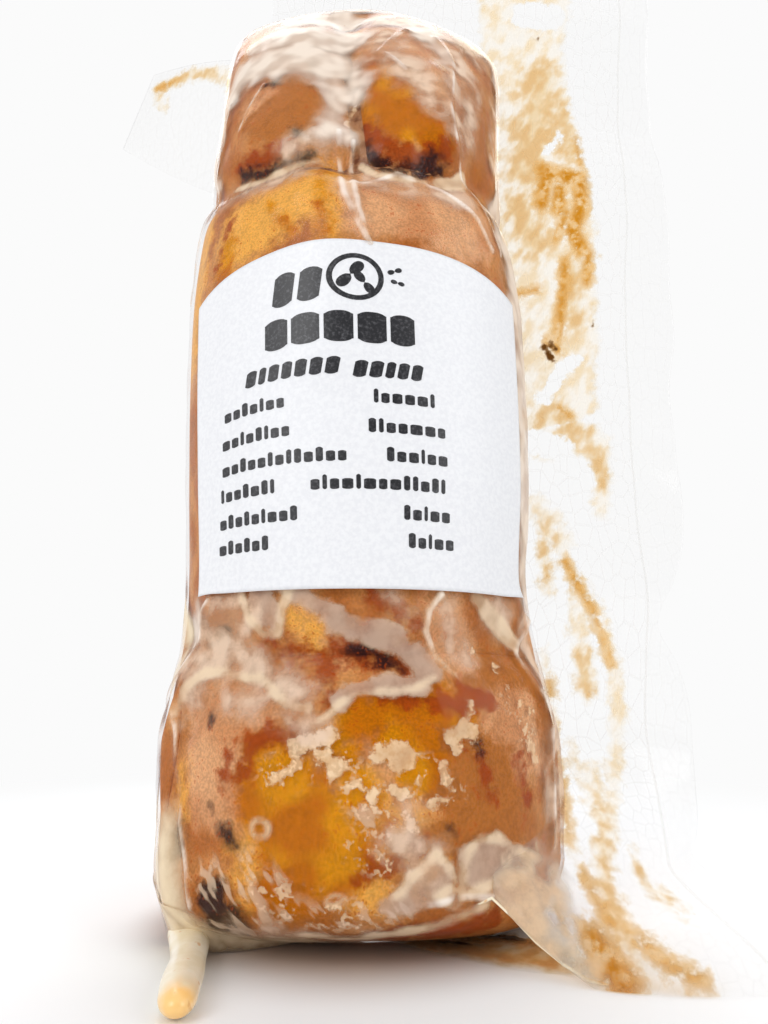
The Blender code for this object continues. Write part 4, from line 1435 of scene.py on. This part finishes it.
def wrap_print(piece):
    """Takes a flat print mesh, in mm on the label, onto the paper."""
    flat = points_of(piece)
    move_points(piece, label_place(flat[:, 0] / LABEL_WIDE, flat[:, 1] / LABEL_HIGH,
                                   PRINT_LIFT + flat[:, 2]))


def add_block(left, low, wide, high, slant=0.0, roundness=0.35):
    """A flat block with rounded ends; slant leans its top to the right."""
    bpy.ops.object.select_all(action="DESELECT")
    columns = max(int(wide / 0.25), 2) + 4
    bpy.ops.mesh.primitive_grid_add(x_subdivisions=columns, y_subdivisions=4, size=1.0)
    piece = bpy.context.object
    flat = points_of(piece) * MM
    edge = min(roundness, 0.49 * wide / high) * high
    along_it = (flat[:, 0] + 0.5) * wide
    from_end = np.minimum(along_it, wide - along_it)
    narrow = np.sqrt(np.clip(1.0 - (1.0 - np.clip(from_end / edge, 0, 1)) ** 2, 0.15, 1.0))
    rise = flat[:, 1] * high * (1.0 - roundness + roundness * narrow)
    move_points(piece, np.column_stack([left + along_it + slant * (rise + high / 2),
                                        low + high / 2 + rise, np.zeros(len(flat))]))
    return piece


def add_word(left, low, high, blocks, gap=LETTER_GAP, slant=0.0, stems=False):
    """A word of blocks whose widths are given; with stems, its narrow blocks are taller."""
    made = []
    for wide in blocks:
        tall = STEM_RISE if stems and wide < STEM_WIDE else 1.0
        made.append(add_block(left, low, wide, high * tall, slant))
        left += wide + gap
    return made


def add_disc(x, y, radius, stretch=1.0, turn=0.0, hole=0.0):
    """A flat ring or disc; stretch and turn make a leaf of it."""
    bpy.ops.object.select_all(action="DESELECT")
    bpy.ops.mesh.primitive_grid_add(x_subdivisions=40, y_subdivisions=6, size=1.0)
    piece = bpy.context.object
    flat = points_of(piece) * MM + 0.5
    angle = flat[:, 0] * 2.0 * math.pi
    reach = radius * (hole + (1.0 - hole) * flat[:, 1])
    point = np.abs(np.cos(angle)) ** 0.5 if stretch != 1.0 else 1.0
    long_way, short_way = reach * np.cos(angle) * stretch, reach * np.sin(angle) * point
    cosine, sine = math.cos(turn), math.sin(turn)
    move_points(piece, np.column_stack([x + long_way * cosine - short_way * sine,
                                        y + long_way * sine + short_way * cosine,
                                        np.zeros(len(flat))]))
    return piece


def join_pieces(name, parts):
    bpy.ops.object.select_all(action="DESELECT")
    for part in parts:
        part.select_set(True)
    bpy.context.view_layer.objects.active = parts[0]
    bpy.ops.object.join()
    return take_new(name)


def make_print():
    parts = [add_disc(22.2, 36.4, 3.1, hole=0.80), add_disc(21.6, 36.7, 1.05, 2.0, 0.9),
             add_disc(23.1, 35.7, 0.85, 1.9, 2.2), add_disc(26.6, 37.6, 0.5, 1.8, 0.4),
             add_disc(26.9, 36.1, 0.45, 1.8, -0.2)]
    parts += add_word(12.8, 33.4, 4.4, (2.5, 2.4), 0.6, 0.12)
    parts += add_word(11.9, 28.0, 3.9, (2.9, 3.1, 3.0, 3.2, 2.8), 0.45)
    parts += add_word(9.0, 24.3, 2.0, (1.4, 0.9, 1.3, 1.2, 1.3, 1.3, 1.4), 0.38, 0.2)
    parts += add_word(21.6, 23.9, 2.0, (1.4, 1.4, 1.0, 1.2, 1.2), 0.36, 0.2)
    # low edge, left edge, letters; right edge and letters of the value
    rows = (
        (20.9, 5.8, (1.1, 1.0, 0.8, 1.0, 0.5, 1.0, 0.9), 30.8, (0.5, 0.9, 1.1, 1.1, 1.2, 0.5)),
        (17.4, 5.4, (1.2, 1.0, 0.5, 1.0, 0.8, 0.5, 1.0, 0.9), 32.0,
         (0.8, 0.5, 1.0, 1.0, 1.4, 1.2, 0.9)),
        (14.1, 5.3, (1.2, 1.0, 0.8, 1.0, 1.0, 0.6, 1.0, 0.6, 0.8, 1.0, 0.8, 1.0, 0.9), 32.2,
         (0.8, 1.0, 1.1, 0.4, 1.0, 1.1)),
        (10.9, 5.0, (0.5, 1.0, 1.0, 0.8, 1.1, 0.8, 0.5), 31.9,
         (1.0, 0.5, 1.0, 1.2, 0.5, 1.3, 0.9, 1.2, 0.7, 0.6, 1.0, 0.8, 0.5)),
        (7.6, 4.7, (1.1, 0.8, 1.0, 0.7, 1.0, 0.5, 1.1, 1.0, 0.8), 32.5, (0.7, 1.0, 0.4, 1.1, 1.0)),
        (4.5, 4.5, (1.2, 0.8, 1.0, 0.8, 1.0, 0.8), 33.0, (0.8, 0.9, 0.4, 1.1, 1.0)),
    )
    for low, left, words, right, value in rows:
        parts += add_word(left, low, SMALL_PRINT, words, stems=True)
        length = sum(value) + LETTER_GAP * (len(value) - 1)
        parts += add_word(right - length, low, SMALL_PRINT, value, stems=True)
    piece = join_pieces("label_print", parts)
    wrap_print(piece)
    return piece


def make_ink_finish():
    material, tree, place = start_material("label_ink")
    worn = noise(tree, place, 0.35, 3.0, 0.6)
    colour = mix(tree, fade(tree, worn, 0.45, 0.75), srgb(34, 34, 38), srgb(84, 84, 88))
    shader = node(tree, "ShaderNodeBsdfPrincipled", {"Base Color": colour, "Roughness": 0.4})
    close_material(tree, shader)
    return material


finish_piece(make_print(), make_ink_finish())

# %% [markdown]
# ## The table
# The pack stands on a plain, nearly white table. It is only a stage, not part of the
# object.


# %% The table
def make_table():
    """White, with a warm painted shadow round the pack's foot. Away from the pack it is as
    bright as the room, so that it has no far edge.
    """
    bpy.ops.object.select_all(action="DESELECT")
    bpy.ops.mesh.primitive_plane_add(size=6.0, location=(0.0, 0.0, 0.0))
    piece = take_new("table_top")
    material, tree, place = start_material("white_table_with_painted_shadow")
    away = node(tree, "ShaderNodeVectorMath", {0: place}, operation="LENGTH").outputs["Value"]
    # painted shadow: darker and warmer within about 14 to 28 mm of the middle of the foot
    colour = mix(tree, fade(tree, away, 0.014, 0.028), srgb(176, 156, 142), srgb(244, 246, 248))
    paint = node(tree, "ShaderNodeBsdfDiffuse", {"Color": colour})
    glow = node(tree, "ShaderNodeEmission", {"Color": (1.0, 1.0, 1.0, 1.0),
                                             "Strength": SEEN_LIGHT})
    close_material(tree, over(tree, fade(tree, away, 0.045, 0.16), paint, glow))
    piece.data.materials.append(material)


make_table()
